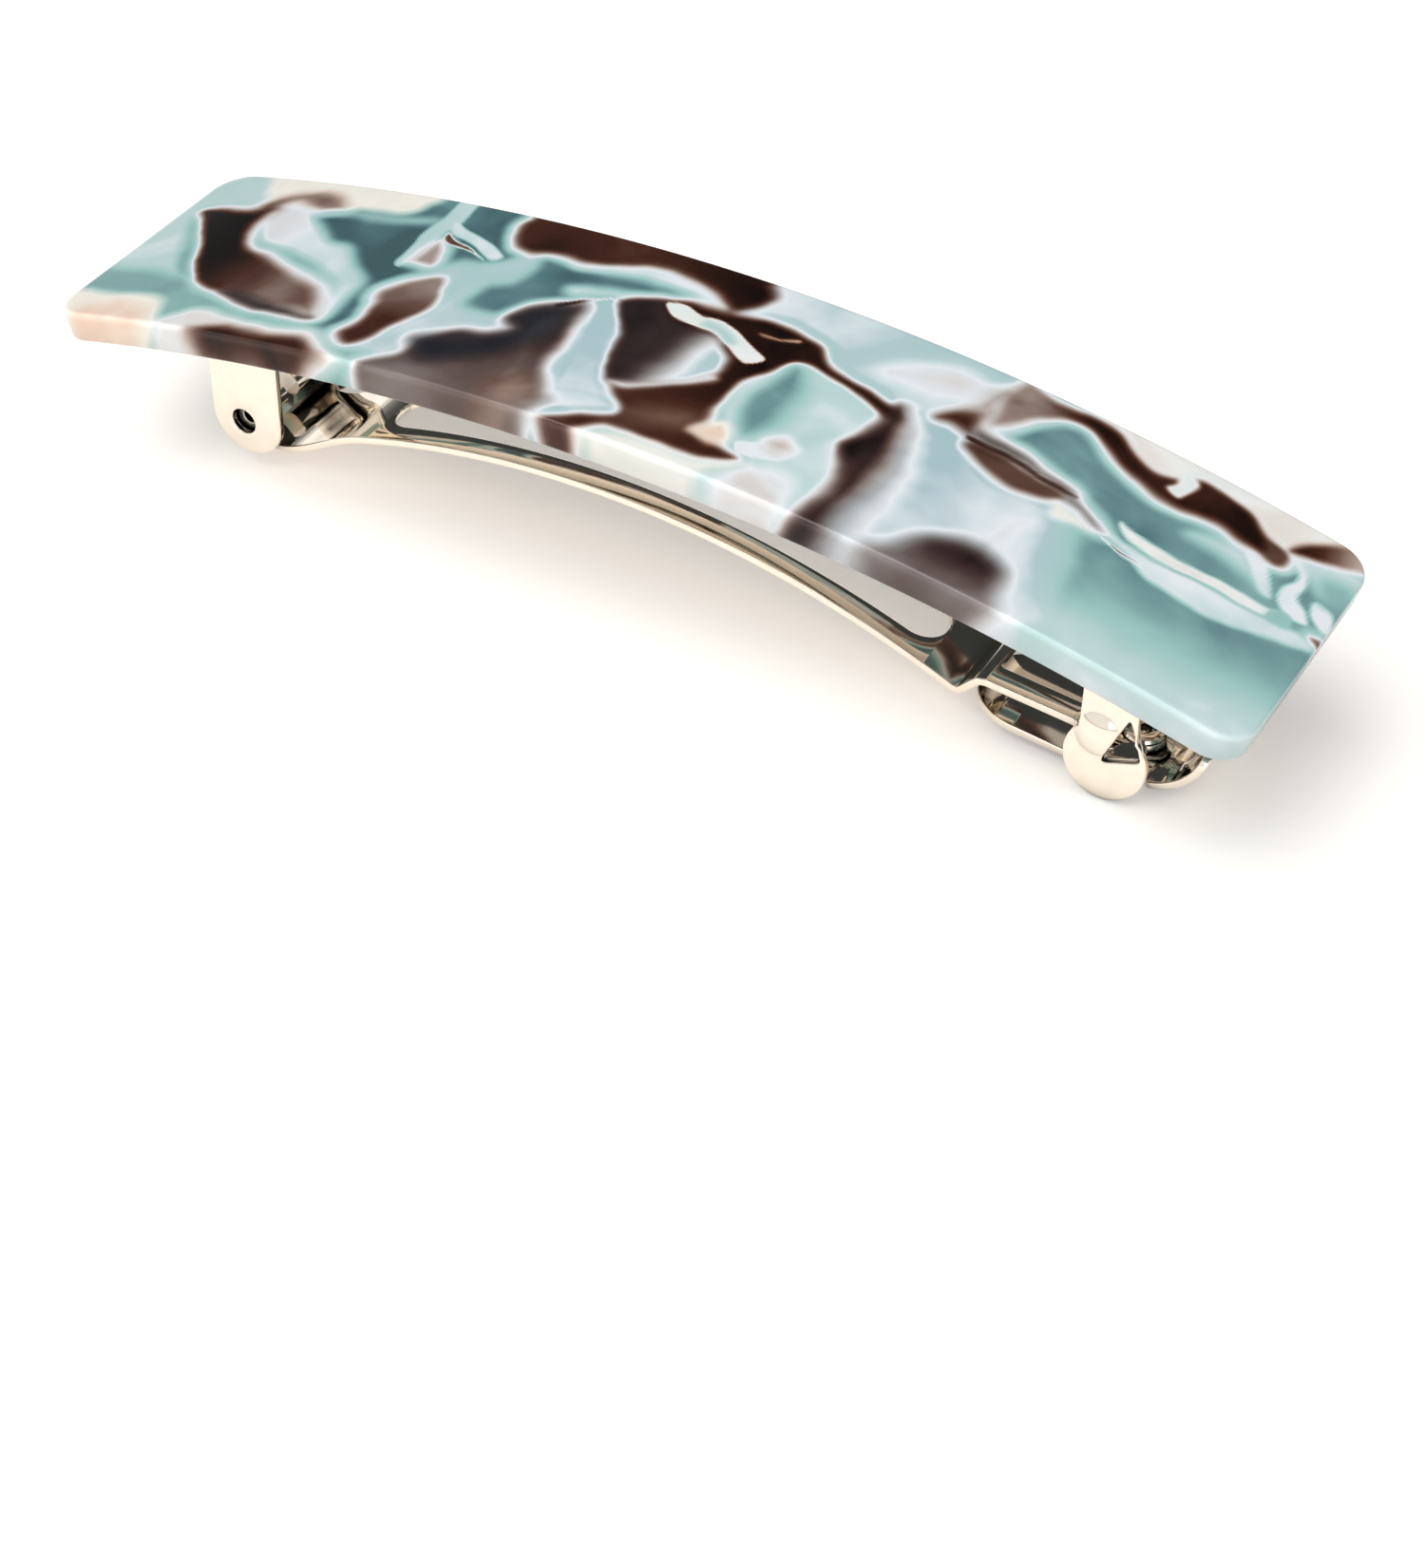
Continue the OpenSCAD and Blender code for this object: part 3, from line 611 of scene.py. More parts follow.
    Chip([(17.2, 3.6), (18.3, 5.6), (19.6, 6), (20, 4.5), (20, 3.5), (18.5, 3.5)], .9, 0, .9),
    Chip([(18.4, 6), (19.2, 8.6), (20.2, 9.6), (20.2, 6.4), (19.4, 5.6)], .68, 0, 1.2),
    Chip([(20.3, 10.9), (23, 10.4), (26, 10.6), (28, 10.1), (30, 9), (31.5, 8.3), (32.8, 8.6), (34, 9.6),
          (35.2, 9.9), (38, 9.2), (40, 8), (41.8, 7.2), (42, 5.8), (41, 5.8), (39, 5.9), (37, 6.2),
          (34, 5.8), (32, 5.9), (30, 6.6), (28, 7.8), (26, 9), (24.5, 9), (23.3, 8), (22, 6), (21, 5.2),
          (20.3, 5.3), (20.1, 7)], .9, 0, .7, 1.1, (0, -1), ((22, 7, .72), (27, 9, .95))),
    Chip([(27, 11.6), (28.5, 10.2), (30, 9), (31.5, 8.3), (33, 8.6), (34, 9.7), (36, 9.8), (38.5, 9),
          (40, 8), (41.7, 7.8), (43, 9), (45, 10.8), (46, 11.6)], .52, .4, .55),
    Chip([(33.2, 9.3), (34.4, 9), (34.2, 7.5), (33.8, 6.9), (32.8, 7.2), (33.2, 8)], .5, .2, .3),
    Chip([(20.3, 4.3), (22.5, 4.2), (25, 3.6), (27.5, 3), (28, 2.4), (24, 2.9), (20.6, 3.3)], .8, -.6, .9),
    # The big teal chip
    Chip([(29.6, .6), (31, .2), (33.5, -.6), (35.5, -1.6), (38, -2), (41, -1.8), (44, -1), (46.5, 0),
          (47.6, -.5), (47.6, -11.6), (31.6, -11.6), (30.8, -6), (29.9, -2)], .25, 0, .75, 3.5, (-1, -.1),
         ((36, -2.4, .14), (36.5, -11, .46))),
    Chip([(30.6, 1.3), (32, .6), (34, .3), (38, .4), (42, .6), (45.5, .9), (46.6, .2), (44, -1),
          (41, -1.8), (38, -2), (35.5, -1.6), (33.8, -.7), (32, 0)], .46, edge=.3),
    Chip([(31.8, 2.2), (33.5, 1.6), (38, 1.5), (42.8, 1.7), (43.3, 1.3), (42.5, .8), (38, .6), (34, .5),
          (32.5, 1)], .5, .3, .17),
    Chip([(31.5, -.2), (33, -.5), (34.6, -.7), (33, -.8)], .75, -.3, .13),
    Chip([(27.6, .6), (28, 1), (29.5, .7), (31, 0), (29.5, -.3), (28, -.6)], .5, .6, .55),
    Chip([(28, 2.1), (29.3, 1.8), (30.6, 1.2), (31.5, .2), (30.3, .5), (29, 1), (28, 1.3)], .72, -.6, .55),
    Chip([(35.8, 4), (37, 5), (40, 5.6), (40.6, 4.4), (42, 2.9), (38, 4)], .42, edge=1.0),
    # Fragments at the right end
    Chip([(39.6, 5.6), (40.3, 5.8), (41.6, 4.8), (42.4, 3.3), (42.6, 2.6), (41.5, 2.8), (40.4, 4.2)],
         .48, edge=.17),
    Chip([(43.2, 7.5), (44, 5.6), (44.2, 4), (45.2, 3), (45.6, 2), (44.5, 1.8), (43.2, 2.6), (42.9, 4),
          (43.3, 5.5), (42.2, 7.2)], .52, edge=.17),
    Chip([(45.2, 4.6), (46.6, 4), (47.2, 2.6), (46.6, 2.2), (45.4, 3.2)], .52, edge=.17),
    Chip([(43.1, 1.9), (44.4, 2), (44.6, .7), (43.1, .6)], .3, edge=.17),
    Chip([(46.2, 1.2), (47.6, 1.6), (47.6, .7)], .9, edge=.55),
    Chip([(40.3, 7.2), (41.8, 6.8), (41.7, 5.6), (40.9, 5.9)], .8, edge=.55),
    Chip([(42, 7.6), (44, 8), (46.5, 9), (47.6, 8.6), (47.6, 6.5), (45.5, 5.2), (44, 6)], .44, edge=.7),
    Chip([(44.6, 6.8), (46.8, 7.4), (47.2, 5), (45.4, 4.8)], .22, edge=.9),
    Chip([(41.8, 7.8), (44.5, 10.9), (47, 11.6), (47.6, 10), (46, 8.9), (44, 8)], .9, .2, .55,
         fade=((43, 8.8, .94), (46.5, 9.7, .66))),
]


# Around a brown chip the teal turns pale over this width, by this much, and towards this tone.
RIM_WIDTH, PALE_RIM, RIM_TONE = 1.0, 0.5, 0.48
# The rim begins this many of its widths outside the chip.
RIM_REACH = 1.3
# Chips darker than this tone have such a rim, unless their edge is crisper than this.
BROWN, CRISP = 0.6, 0.3


def rounded_loop(points, steps=6):
    """Closed Catmull-Rom curve through listed points: each span blends its four nearest points by
    cubics."""
    p = np.asarray(points, float)
    t = np.arange(steps)[None, :, None] / steps
    a, b, c, d = (np.roll(p, k, axis=0)[:, None, :] for k in (1, 0, -1, -2))
    spans = 0.5 * (2 * b + (c - a) * t + (2 * a - 5 * b + 4 * c - d) * t ** 2
                   + (3 * b - a - 3 * c + d) * t ** 3)
    return spans.reshape(-1, 2)


def depth_inside(loop, u, v):
    """Signed distance from points to a closed loop, positive inside: the nearest distance to any span, and
    the side from counting the spans that a ray crosses."""
    a, b = loop[:, None, :], np.roll(loop, -1, axis=0)[:, None, :]
    p = np.column_stack([u, v])[None, :, :]
    span = b - a
    t = np.clip(((p - a) * span).sum(-1) / ((span ** 2).sum(-1) + 1e-12), 0, 1)
    near = np.sqrt((((a + t[..., None] * span) - p) ** 2).sum(-1).min(axis=0))
    above_a, above_b = a[..., 1] > p[..., 1], b[..., 1] > p[..., 1]
    cross = a[..., 0] + (p[..., 1] - a[..., 1]) * span[..., 0] / (span[..., 1] + 1e-12)
    inside = ((above_a != above_b) & (p[..., 0] < cross)).sum(axis=0) % 2 == 1
    return np.where(inside, near, -near)


def marbling(u, v):
    """Tone and warmth of the acetate at places on its face. The ground is clear teal. Each chip in turn pulls
    the tone towards its own, by an ease across its edge, so brown over teal leaves a white rim. The edges
    wander by sums of sines, about a tenth of a millimetre."""
    u0, v0 = u, v
    u = u0 + 0.10 * np.sin(1.3 * v0 + 0.5 * u0) + 0.02 * np.sin(3.3 * v0 - 2.1 * u0)
    v = v0 + 0.09 * np.sin(1.1 * u0 - 0.7 * v0) + 0.02 * np.sin(3.1 * u0 + 1.3 * v0)
    tone = (0.085 + 0.0014 * u + 0.05 * np.sin(0.31 * u + 0.5) * np.cos(0.27 * v)
            + 0.02 * np.sin(0.9 * u + 0.6 * v))
    warmth = np.zeros_like(tone)
    for chip in CHIPS:
        loop = rounded_loop(chip.outline)
        width = max(chip.edge, chip.soft or 0, RIM_REACH * RIM_WIDTH if chip.tone > BROWN else 0)
        low, high = loop.min(axis=0) - width, loop.max(axis=0) + width
        near = np.flatnonzero((u > low[0]) & (u < high[0]) & (v > low[1]) & (v < high[1]))
        if not len(near):
            continue
        x, y = u[near], v[near]
        fade_width = np.full(len(near), chip.edge)
        if chip.soft:
            way = np.asarray(chip.toward) / np.hypot(*chip.toward)
            middle, half = (low + high) / 2, np.abs((high - low) / 2 @ np.abs(way))
            side = ((x - middle[0]) * way[0] + (y - middle[1]) * way[1]) / half
            fade_width = chip.edge + (chip.soft - chip.edge) * smooth(side * 0.8 + 0.4)
        depth = depth_inside(loop, x, y)
        cover = smooth(depth / (2 * fade_width) + 0.5)
        if chip.tone > BROWN and chip.edge > CRISP:
            rim = PALE_RIM * smooth(RIM_REACH + depth / RIM_WIDTH) * (tone[near] < RIM_TONE)
            tone[near] += (RIM_TONE - tone[near]) * rim
        goal = chip.tone
        if chip.fade:
            (x0, y0, t0), (x1, y1, t1) = chip.fade
            run = ((x - x0) * (x1 - x0) + (y - y0) * (y1 - y0)) / ((x1 - x0) ** 2 + (y1 - y0) ** 2)
            goal = t0 + (t1 - t0) * smooth(run)
        tone[near] += (goal - tone[near]) * cover
        warmth[near] += (chip.warmth - warmth[near]) * cover
    return tone, warmth


def slab(s):
    """Bent plate as one closed surface of two parameters: the place around a rounded rectangle, and the walk
    from the middle of the upper face out to its edge, round and down the side, and back in underneath. The
    rectangle shrinks by the walk's inset, and its corners' radius with it, down to nothing. The flat result
    is bent round the plate's line: arc length becomes an angle, and depth shortens the radius."""
    long, wide, thick = s.plate_length / MM, s.width / MM, s.thickness / MM
    bend, corner, edge = s.bend / MM, s.corner / MM, s.edge / MM
    turn = np.linspace(0, math.pi / 2, 5)[1:]
    upper = np.linspace(wide / 2, edge, 52)
    lower = np.linspace(edge, wide / 2, 18)
    rounding = edge * (1 - np.sin(turn))
    inset = np.concatenate([upper, rounding, [0, 0], rounding[::-1], lower])
    depth = np.concatenate([0 * upper, edge * (1 - np.cos(turn)), [thick * 0.36, thick * 0.64],
                            thick - edge * (1 - np.cos(turn[::-1])), 0 * lower + thick])
    inset = inset[:, None]
    round_off = np.maximum(corner - inset, 0)
    x1, y1 = long / 2 - inset - round_off, wide / 2 - inset - round_off
    x2, y2 = x1 + round_off, y1 + round_off
    arc = np.linspace(0, math.pi / 2, 14)[None, 1:-1]
    along, across = np.linspace(-1, 1, 432)[None, :], np.linspace(-1, 1, 92)[None, :]
    swing, lift = round_off * np.cos(arc), round_off * np.sin(arc)
    flat = [
        (x2 + 0 * across, y1 * across), (x1 + swing, y1 + lift), (-x1 * along, y2 + 0 * along),
        (-x1 - lift, y1 + swing), (-x2 + 0 * across, -y1 * across), (-x1 - swing, -y1 - lift),
        (x1 * along, -y2 + 0 * along), (x1 + lift, -y1 - swing),
    ]
    u = np.hstack([a for a, b in flat])
    v = np.hstack([b for a, b in flat])
    radius = bend - depth[:, None]
    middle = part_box("acetate_plate")[1][2] / MM - bend
    points = np.stack([radius * np.sin(u / bend), v, middle + radius * np.cos(u / bend)], axis=-1)
    return points.reshape(-1, 3), grid_faces(*u.shape), middle


# ---------------------------------------------------------------- the clip's lines

# The hinge's line, and the ears that hold it: their middle, their tip's centre and radius, and their two
# faces' distances from the clip's middle plane.
HINGE_X, HINGE_Z = -34.5, 4.1
EAR_X, EAR_TIP_Z, EAR_R, EAR_FACES = -34.2, 4.5, 3.0, (4.4, 5.0)
# The arm's knuckles inside the ears: radius, foot and faces. Then the bores in the ears and the knuckles.
KNUCKLE_R, KNUCKLE_FOOT_Z, KNUCKLE_FACES = 2.0, 1.9, (3.6, 4.2)
EAR_BORE_R, KNUCKLE_BORE_R = 1.0, 0.5
# The plate's highest point, and the bends' radii at its top and at the base strip's top and underside.
CROWN_Z, PLATE_R, BASE_R, SEAT_R = 19.2, 174.7, 172.25, 171.45
BEND_Z = CROWN_Z - PLATE_R
# The base strip's length along the bend, half-width and corner radius, and its end holes' places and radius.
BASE_LONG, BASE_HALF, BASE_CORNER = 80, 5, 3
END_HOLE_X, END_HOLE_R = 37.9, 1
# The latch bracket's two ends, and the places of the two rivets under the base.
BRACKET_X, LATCH_RIVET_X, BOW_RIVET_X = (31.6, 38.6), 35.1, -27
# The tension bow's two ends, its thickness, and its half-width, which is also its ends' radius.
BOW_X, BOW_SHEET, BOW_HALF = (-30, 27), 0.5, 3
# Heights of the middles of the thumb tab and of the arm's lap on it, and the place of their rivet.
TAB_Z, LAP_Z, TAB_RIVET_X = 0.8, 1.48, 35.9
# The button legs' inner faces at the height where they bend, and how far they lean out below it.
LEG_Y, FLEX_Z, LEAN = 4.35, 11.6, math.radians(5)
# The button's disc, the corners of the claw's window, and the dome's place, radius and height.
DISC_X, DISC_Z = 35.4, 3.1
WINDOW = ((35.1, 2.9), (36.8, 7.0), (37.9, 3.9))
DOME, DOME_R, DOME_H = (34.7, 5.0), 1.7, 0.5


def ring_z(radius, x):
    """Height at x of a circle round the plate's bending line."""
    return BEND_Z + np.sqrt(radius ** 2 - np.square(x))


def arm_line():
    """The clasp arm's middle line: flat under the hinge, a cubic S up to a circular arc, the kink, the rails,
    and the lap on the thumb tab. The S is the cubic that meets the height and slope at both its ends."""
    crown_x, crown_z, radius = -4, 8.6, 69
    start_x, start_z, slope = HINGE_X + 2.6, 2.0, 0.2
    join_x, kink_x = -25, 23.7

    def arc(x):
        return crown_z - radius + np.sqrt(radius ** 2 - (x - crown_x) ** 2)

    t = np.linspace(0, 1, 15)
    wide = join_x - start_x
    steep = (crown_x - join_x) / math.sqrt(radius ** 2 - (crown_x - join_x) ** 2)
    rise = ((2 * t ** 3 - 3 * t ** 2 + 1) * start_z + (t ** 3 - 2 * t ** 2 + t) * wide * slope
            + (3 * t ** 2 - 2 * t ** 3) * arc(join_x) + (t ** 3 - t ** 2) * wide * steep)
    x = np.linspace(join_x + 1, kink_x, 60)
    rails = [(25.3, 4.5), (32.6, 3.9)]
    lap = [(34.2, LAP_Z), (38.7, LAP_Z)]
    return np.vstack([[(HINGE_X - 1.3, start_z)], np.column_stack([start_x + wide * t, rise]),
                      np.column_stack([x, arc(x)]), rails, lap])


def tab_line():
    """The thumb tab's middle line: straight under the rails, then a circular curl."""
    curl_x, curl_r = 36.9, 4.9
    turn = np.radians(np.linspace(0, 77, 14))
    curl = np.column_stack([curl_x + curl_r * np.sin(turn), TAB_Z + curl_r * (1 - np.cos(turn))])
    return np.vstack([[(23.8, 1.8), (33.8, TAB_Z)], curl])


def bow_line():
    """The tension bow's middle line. It follows the base past its rivet, for a share of its run, then drops
    away steadily and sags by a squared sine."""
    held, sag, drop, below_base = 0.1, 2.0, 0.9, 0.45
    t = np.linspace(0, 1, 60)
    x = BOW_X[0] + (BOW_X[1] - BOW_X[0]) * t
    u = np.maximum(t - held, 0) / (1 - held)
    fall = sag * np.sin(u * math.radians(165)) ** 2 + drop * u
    return np.column_stack([x, ring_z(SEAT_R - below_base, x) - fall])


def base_line(radius, start, end):
    """An arc round the plate's bending line between two places along X."""
    turn = np.linspace(math.asin(start / radius), math.asin(end / radius), 80)
    return np.column_stack([radius * np.sin(turn), BEND_Z + radius * np.cos(turn)])


def place_along(points):
    """Function that turns a place along X into a distance along the eased path."""
    line = even_path(points)
    run = np.append(0, np.cumsum(np.hypot(*np.diff(line, axis=0).T)))
    return lambda x: float(np.interp(x, line[:, 0], run))


def disc_or_box(centre, radius, left, right, low, high):
    """Region test for a disc joined to an upright box."""
    return lambda x, z: (((x - centre[0]) ** 2 + (z - centre[1]) ** 2 < radius ** 2)
                         | ((x > left) & (x < right) & (z > low) & (z < high)))


def sides_of(corners, ease=0.0):
    """Region test for a convex polygon given anticlockwise or clockwise. With ease, the corners are rounded
    by a soft minimum of the distances to the sides."""
    p = np.asarray(corners, float)
    q = np.roll(p, -1, axis=0)
    normal = np.column_stack([q[:, 1] - p[:, 1], p[:, 0] - q[:, 0]])
    normal /= np.hypot(*normal.T)[:, None]
    if ((p.mean(axis=0) - p) * normal).sum() < 0:
        normal = -normal

    def inside(x, z):
        away = np.stack([(x - a[0]) * n[0] + (z - a[1]) * n[1] for a, n in zip(p, normal)])
        return away.min(axis=0) > 0 if ease == 0 else np.exp(-away / ease).sum(axis=0) < 1
    return inside


def rear_of(part):
    """Mirror image of a part on the clip's other side, with its faces turned back outwards."""
    points, quads = part
    return points * [1, -1, 1], quads[:, ::-1]


def round_hole(centre, radius, count=AROUND):
    """Circle of points that starts on the +X side, as the outlines do."""
    turn = np.linspace(0, 2 * math.pi, count, endpoint=False)
    return np.column_stack([centre[0] + radius * np.cos(turn), centre[1] + radius * np.sin(turn)])


def bend_rivet(x, under_head):
    """Rivet square to the bent base: a shank up into the strip and a low domed head under it."""
    shank_r, head_r, rim, dome = 0.9, 1.8, 0.15, 0.35
    top = BASE_R - 0.05
    tilt = math.asin(x / SEAT_R)
    swing = np.linspace(0, math.pi / 2, 7)
    head = np.column_stack([head_r * np.cos(swing), under_head - rim - dome * np.sin(swing)])
    profile = [(0, top), (shank_r, top), (shank_r, under_head), (head_r - 0.06, under_head),
               (head_r, under_head - 0.05), *head]
    return turned(profile, (0, 0, BEND_Z), (math.sin(tilt), 0, math.cos(tilt)))


def blank_button(sheet, burr, disc_r):
    """Front button: the leg joined to its disc, pierced by the claw's window, with the dome pressed out of it
    as a spherical cap, and the claw bent in from the window's lower side. Then all of it leans outwards."""
    # The leg's four corners. Its top goes 0.1 mm up into the bracket.
    top_x, foot_x, foot_z = (33.2, 37.0), (33.3, 37.5), 5.2
    top_z = ring_z(SEAT_R - sheet, np.array(top_x)) + 0.1
    leg = sides_of([(top_x[0], top_z[0]), (top_x[1], top_z[1]), (foot_x[1], foot_z), (foot_x[0], foot_z)])
    ball = (DOME_R ** 2 + DOME_H ** 2) / (2 * DOME_H)

    def plan(x, z):
        return ((x - DISC_X) ** 2 + (z - DISC_Z) ** 2 < disc_r ** 2) | leg(x, z)

    def press(x, z):
        level = np.sqrt(np.maximum(ball ** 2 - (x - DOME[0]) ** 2 - (z - DOME[1]) ** 2, 0))
        return -np.maximum(level - (ball - DOME_H), 0)

    # Rays from a point in the window reach both its edge and the button's. The many rings carry the dome.
    eye, rays, rings = (36.6, 4.6), 360, 30
    plate = pierced(reach(plan, eye, rays), reach(sides_of(WINDOW, 0.12), eye, rays), -sheet, 0, burr, rings,
                    press)
    flap, quads = stamped([(-0.25, 0), (0.5, -0.1), (1.9, 0.15)], 0.45, [Cut(0, 2.1, 1.25, 0.2, 0.9)], (),
                          0.1, 0.3)
    # The claw's root lies along the window's lower side.
    (x0, z0), (x1, z1) = WINDOW[0], WINDOW[2]
    slope = math.atan2(z1 - z0, x1 - x0)
    claw = np.column_stack([(x0 + x1) / 2 + flap[:, 1] * math.cos(slope), flap[:, 0],
                            (z0 + z1) / 2 - 0.05 + flap[:, 1] * math.sin(slope) + flap[:, 2]])
    points = np.vstack([plate[0], claw])
    x, y, z = points[:, 0], points[:, 1], points[:, 2] - FLEX_Z
    leaned = np.column_stack([x, -LEG_Y + y * math.cos(LEAN) + z * math.sin(LEAN),
                              FLEX_Z - y * math.sin(LEAN) + z * math.cos(LEAN)])
    return leaned, np.vstack([plate[1], quads[:, ::-1] + len(plate[0])])


# ---------------------------------------------------------------- operators

class BARRETTE_OT_plate(bpy.types.Operator):
    """Makes the acetate plate and writes its marbling and depth into three attributes"""

    bl_idname = "barrette.plate"
    bl_label = "Acetate Plate"

    def execute(self, context):
        s = context.scene.barrette_plate
        points, quads, middle = slab(s)
        piece = solid("marbled_plate", [(points, quads)], BASE_BODY, "acetate_plate", acetate(s))
        mesh = piece.data
        at = np.empty(len(mesh.vertices) * 3)
        mesh.vertices.foreach_get("co", at)
        x, y, z = at.reshape(-1, 3).T / MM
        bend = s.bend / MM
        depth = bend - np.hypot(x, z - middle)
        # The chips run slantwise through the thickness, so the sides and underside show them shifted.
        slant = 0.35
        edge = s.width / MM / 2 - slant * depth
        u = bend * np.arctan2(x, z - middle) + slant * depth
        tone, warmth = marbling(u, np.clip(y, -edge, edge))
        for label, values in (("tone", tone), ("warmth", warmth), ("depth", depth * MM / s.thickness)):
            field = mesh.attributes.new(label, "FLOAT", "POINT")
            field.data.foreach_set("value", values.astype(np.float32))
        return {"FINISHED"}


class BARRETTE_OT_base(bpy.types.Operator):
    """Makes the base strip with its hinge ears, the latch bracket, two rivets and the film's finish"""

    bl_idname = "barrette.base"
    bl_label = "Base Strip"

    def execute(self, context):
        s = context.scene.barrette_clip
        thick, sheet, burr = s.base / MM, s.sheet / MM, s.burr / MM
        nickel = plated("bright_nickel_plate_base", tuple(s.nickel), 0.07)
        rivet = plated("bright_nickel_plate_rivets", tuple(s.rivet), 0.12)
        half = BASE_R * math.sin(BASE_LONG / 2 / BASE_R)
        line = base_line(BASE_R - thick / 2, -half, half)
        at = place_along(line)
        holes = [Cut(at(x) - END_HOLE_R, at(x) + END_HOLE_R, END_HOLE_R, END_HOLE_R, END_HOLE_R)
                 for x in (-END_HOLE_X, END_HOLE_X)]
        outline = Cut(0, at(half), BASE_HALF, BASE_CORNER, BASE_CORNER)
        strip = stamped(line, thick, [outline], holes, burr, 1.0)
        # The ears run 0.2 mm up into the strip.
        top = float(ring_z(SEAT_R, EAR_X)) + 0.2
        region = disc_or_box((EAR_X, EAR_TIP_Z), EAR_R, EAR_X - EAR_R, EAR_X + EAR_R, EAR_TIP_Z, top)
        ear = pierced(reach(region, (HINGE_X, HINGE_Z)), round_hole((HINGE_X, HINGE_Z), EAR_BORE_R),
                      -EAR_FACES[1], -EAR_FACES[0], burr, 6)
        solid("base_strip_with_ears", [strip, ear, rear_of(ear)], BASE_BODY, "base_strip",
              nickel)
        line = base_line(SEAT_R - sheet / 2, *BRACKET_X)
        outline = Cut(0, place_along(line)(BRACKET_X[1]), 4.95, 0.4, 0.4)
        bracket = stamped(line, sheet, [outline], (), burr, 1.0)
        solid("latch_bracket_plate", [bracket], BASE_BODY, "latch_bracket", nickel)
        # One head sits under the bracket, the other under the bow.
        latch_rivet = bend_rivet(LATCH_RIVET_X, SEAT_R - sheet - 0.03)
        solid("latch_rivet_turned", [latch_rivet], BASE_BODY, "latch_rivet", rivet)
        bow_rivet = bend_rivet(BOW_RIVET_X, SEAT_R - 0.9)
        solid("bow_rivet_turned", [bow_rivet], BASE_BODY, "bow_rivet", rivet)
        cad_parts["adhesive_film"].material_slots[0].material = cured_glue(tuple(s.glue))
        return {"FINISHED"}


class BARRETTE_OT_bow(bpy.types.Operator):
    """Makes the tension bow"""

    bl_idname = "barrette.bow"
    bl_label = "Tension Bow"

    def execute(self, context):
        s = context.scene.barrette_clip
        nickel = plated("bright_nickel_plate_bow", tuple(s.nickel), 0.08)
        line = bow_line()
        outline = Cut(0, place_along(line)(BOW_X[1]), BOW_HALF, BOW_HALF, BOW_HALF)
        bow = stamped(line, BOW_SHEET, [outline], (), s.burr / MM, 1.0)
        solid("tension_bow_strip", [bow], "bow", "tension_bow", nickel)
        return {"FINISHED"}


class BARRETTE_OT_arm(bpy.types.Operator):
    """Makes the clasp arm with its knuckles and pins, the thumb tab and the rivet that joins them"""

    bl_idname = "barrette.arm"
    bl_label = "Clasp Arm"

    def execute(self, context):
        s = context.scene.barrette_clip
        sheet, burr, half, slot = s.sheet / MM, s.burr / MM, s.arm_width / MM / 2, s.slot_width / MM / 2
        nickel = plated("bright_nickel_plate_arm", tuple(s.nickel), 0.06)
        line = arm_line()
        at = place_along(line)
        strip = Cut(0, at(33.2), half, 0.3, 0.5)
        tongue = Cut(at(32.2), at(37.4), 1.5, 0.2, 1.5)
        long_slot = Cut(at(-23.8), at(20.8), slot, slot, slot)
        window = Cut(at(25.9), at(32.4), slot, 0.4, 0.4)
        arm = stamped(line, sheet, [strip, tongue], [long_slot, window], burr, 0.5)
        region = disc_or_box((HINGE_X, HINGE_Z), KNUCKLE_R, HINGE_X - KNUCKLE_R, HINGE_X + KNUCKLE_R,
                             KNUCKLE_FOOT_Z, HINGE_Z)
        bore = round_hole((HINGE_X, HINGE_Z), KNUCKLE_BORE_R)
        knuckle = pierced(reach(region, (HINGE_X, HINGE_Z)), bore, -KNUCKLE_FACES[1], -KNUCKLE_FACES[0],
                          burr, 3)
        # The pin is a thin cup, open at its outer end. It stops 0.1 mm short of the ear's inner face.
        pin = turned([(0.01, 0.8), (0.8, 0.8), (0.86, 4.3), (0.95, 4.3), (0.95, 3.6), (0.9, 0.7),
                      (0.01, 0.7)], (HINGE_X, 0, HINGE_Z), (0, -1, 0))
        solid("clasp_arm_strip", [arm, knuckle, rear_of(knuckle), pin, rear_of(pin)], "arm", "clasp_arm",
              nickel)
        line = tab_line()
        at = place_along(line)
        blade = Cut(0, at(33.2), half, half, 0.5)
        neck = Cut(at(32), at(38.6), 2.6, 0.2, 0.2)
        thumb = Cut(at(37.6), at(float(line[-1][0])), 3.9, 0.5, 0.9)
        tab = stamped(line, sheet, [blade, neck, thumb], (), burr, 0.3)
        solid("thumb_tab_strip", [tab], "arm", "thumb_tab", nickel)
        eyelet = turned([(0.45, 0.5), (0.8, 0.5), (0.8, 1.88), (1.45, 1.88), (1.5, 1.95), (1.4, 2.15),
                         (1.1, 2.27), (0.75, 2.24), (0.5, 2.1), (0.45, 1.95), (0.45, 0.5)],
                        (TAB_RIVET_X, 0, 0), (0, 0, 1))
        solid("tab_rivet_eyelet", [eyelet], "arm", "tab_rivet", nickel)
        return {"FINISHED"}


class BARRETTE_OT_buttons(bpy.types.Operator):
    """Makes the two latch buttons, each with its leg, disc, dome, window and claw"""

    bl_idname = "barrette.buttons"
    bl_label = "Latch Buttons"

    def execute(self, context):
        s = context.scene.barrette_clip
        nickel = plated("bright_nickel_plate_buttons", tuple(s.nickel), 0.07)
        front = blank_button(s.sheet / MM, s.burr / MM, s.disc / MM)
        solid("front_button_pressed", [front], "front_latch_button", "front_button", nickel)
        solid("rear_button_pressed", [rear_of(front)], "rear_latch_button", "rear_button",
              nickel)
        return {"FINISHED"}


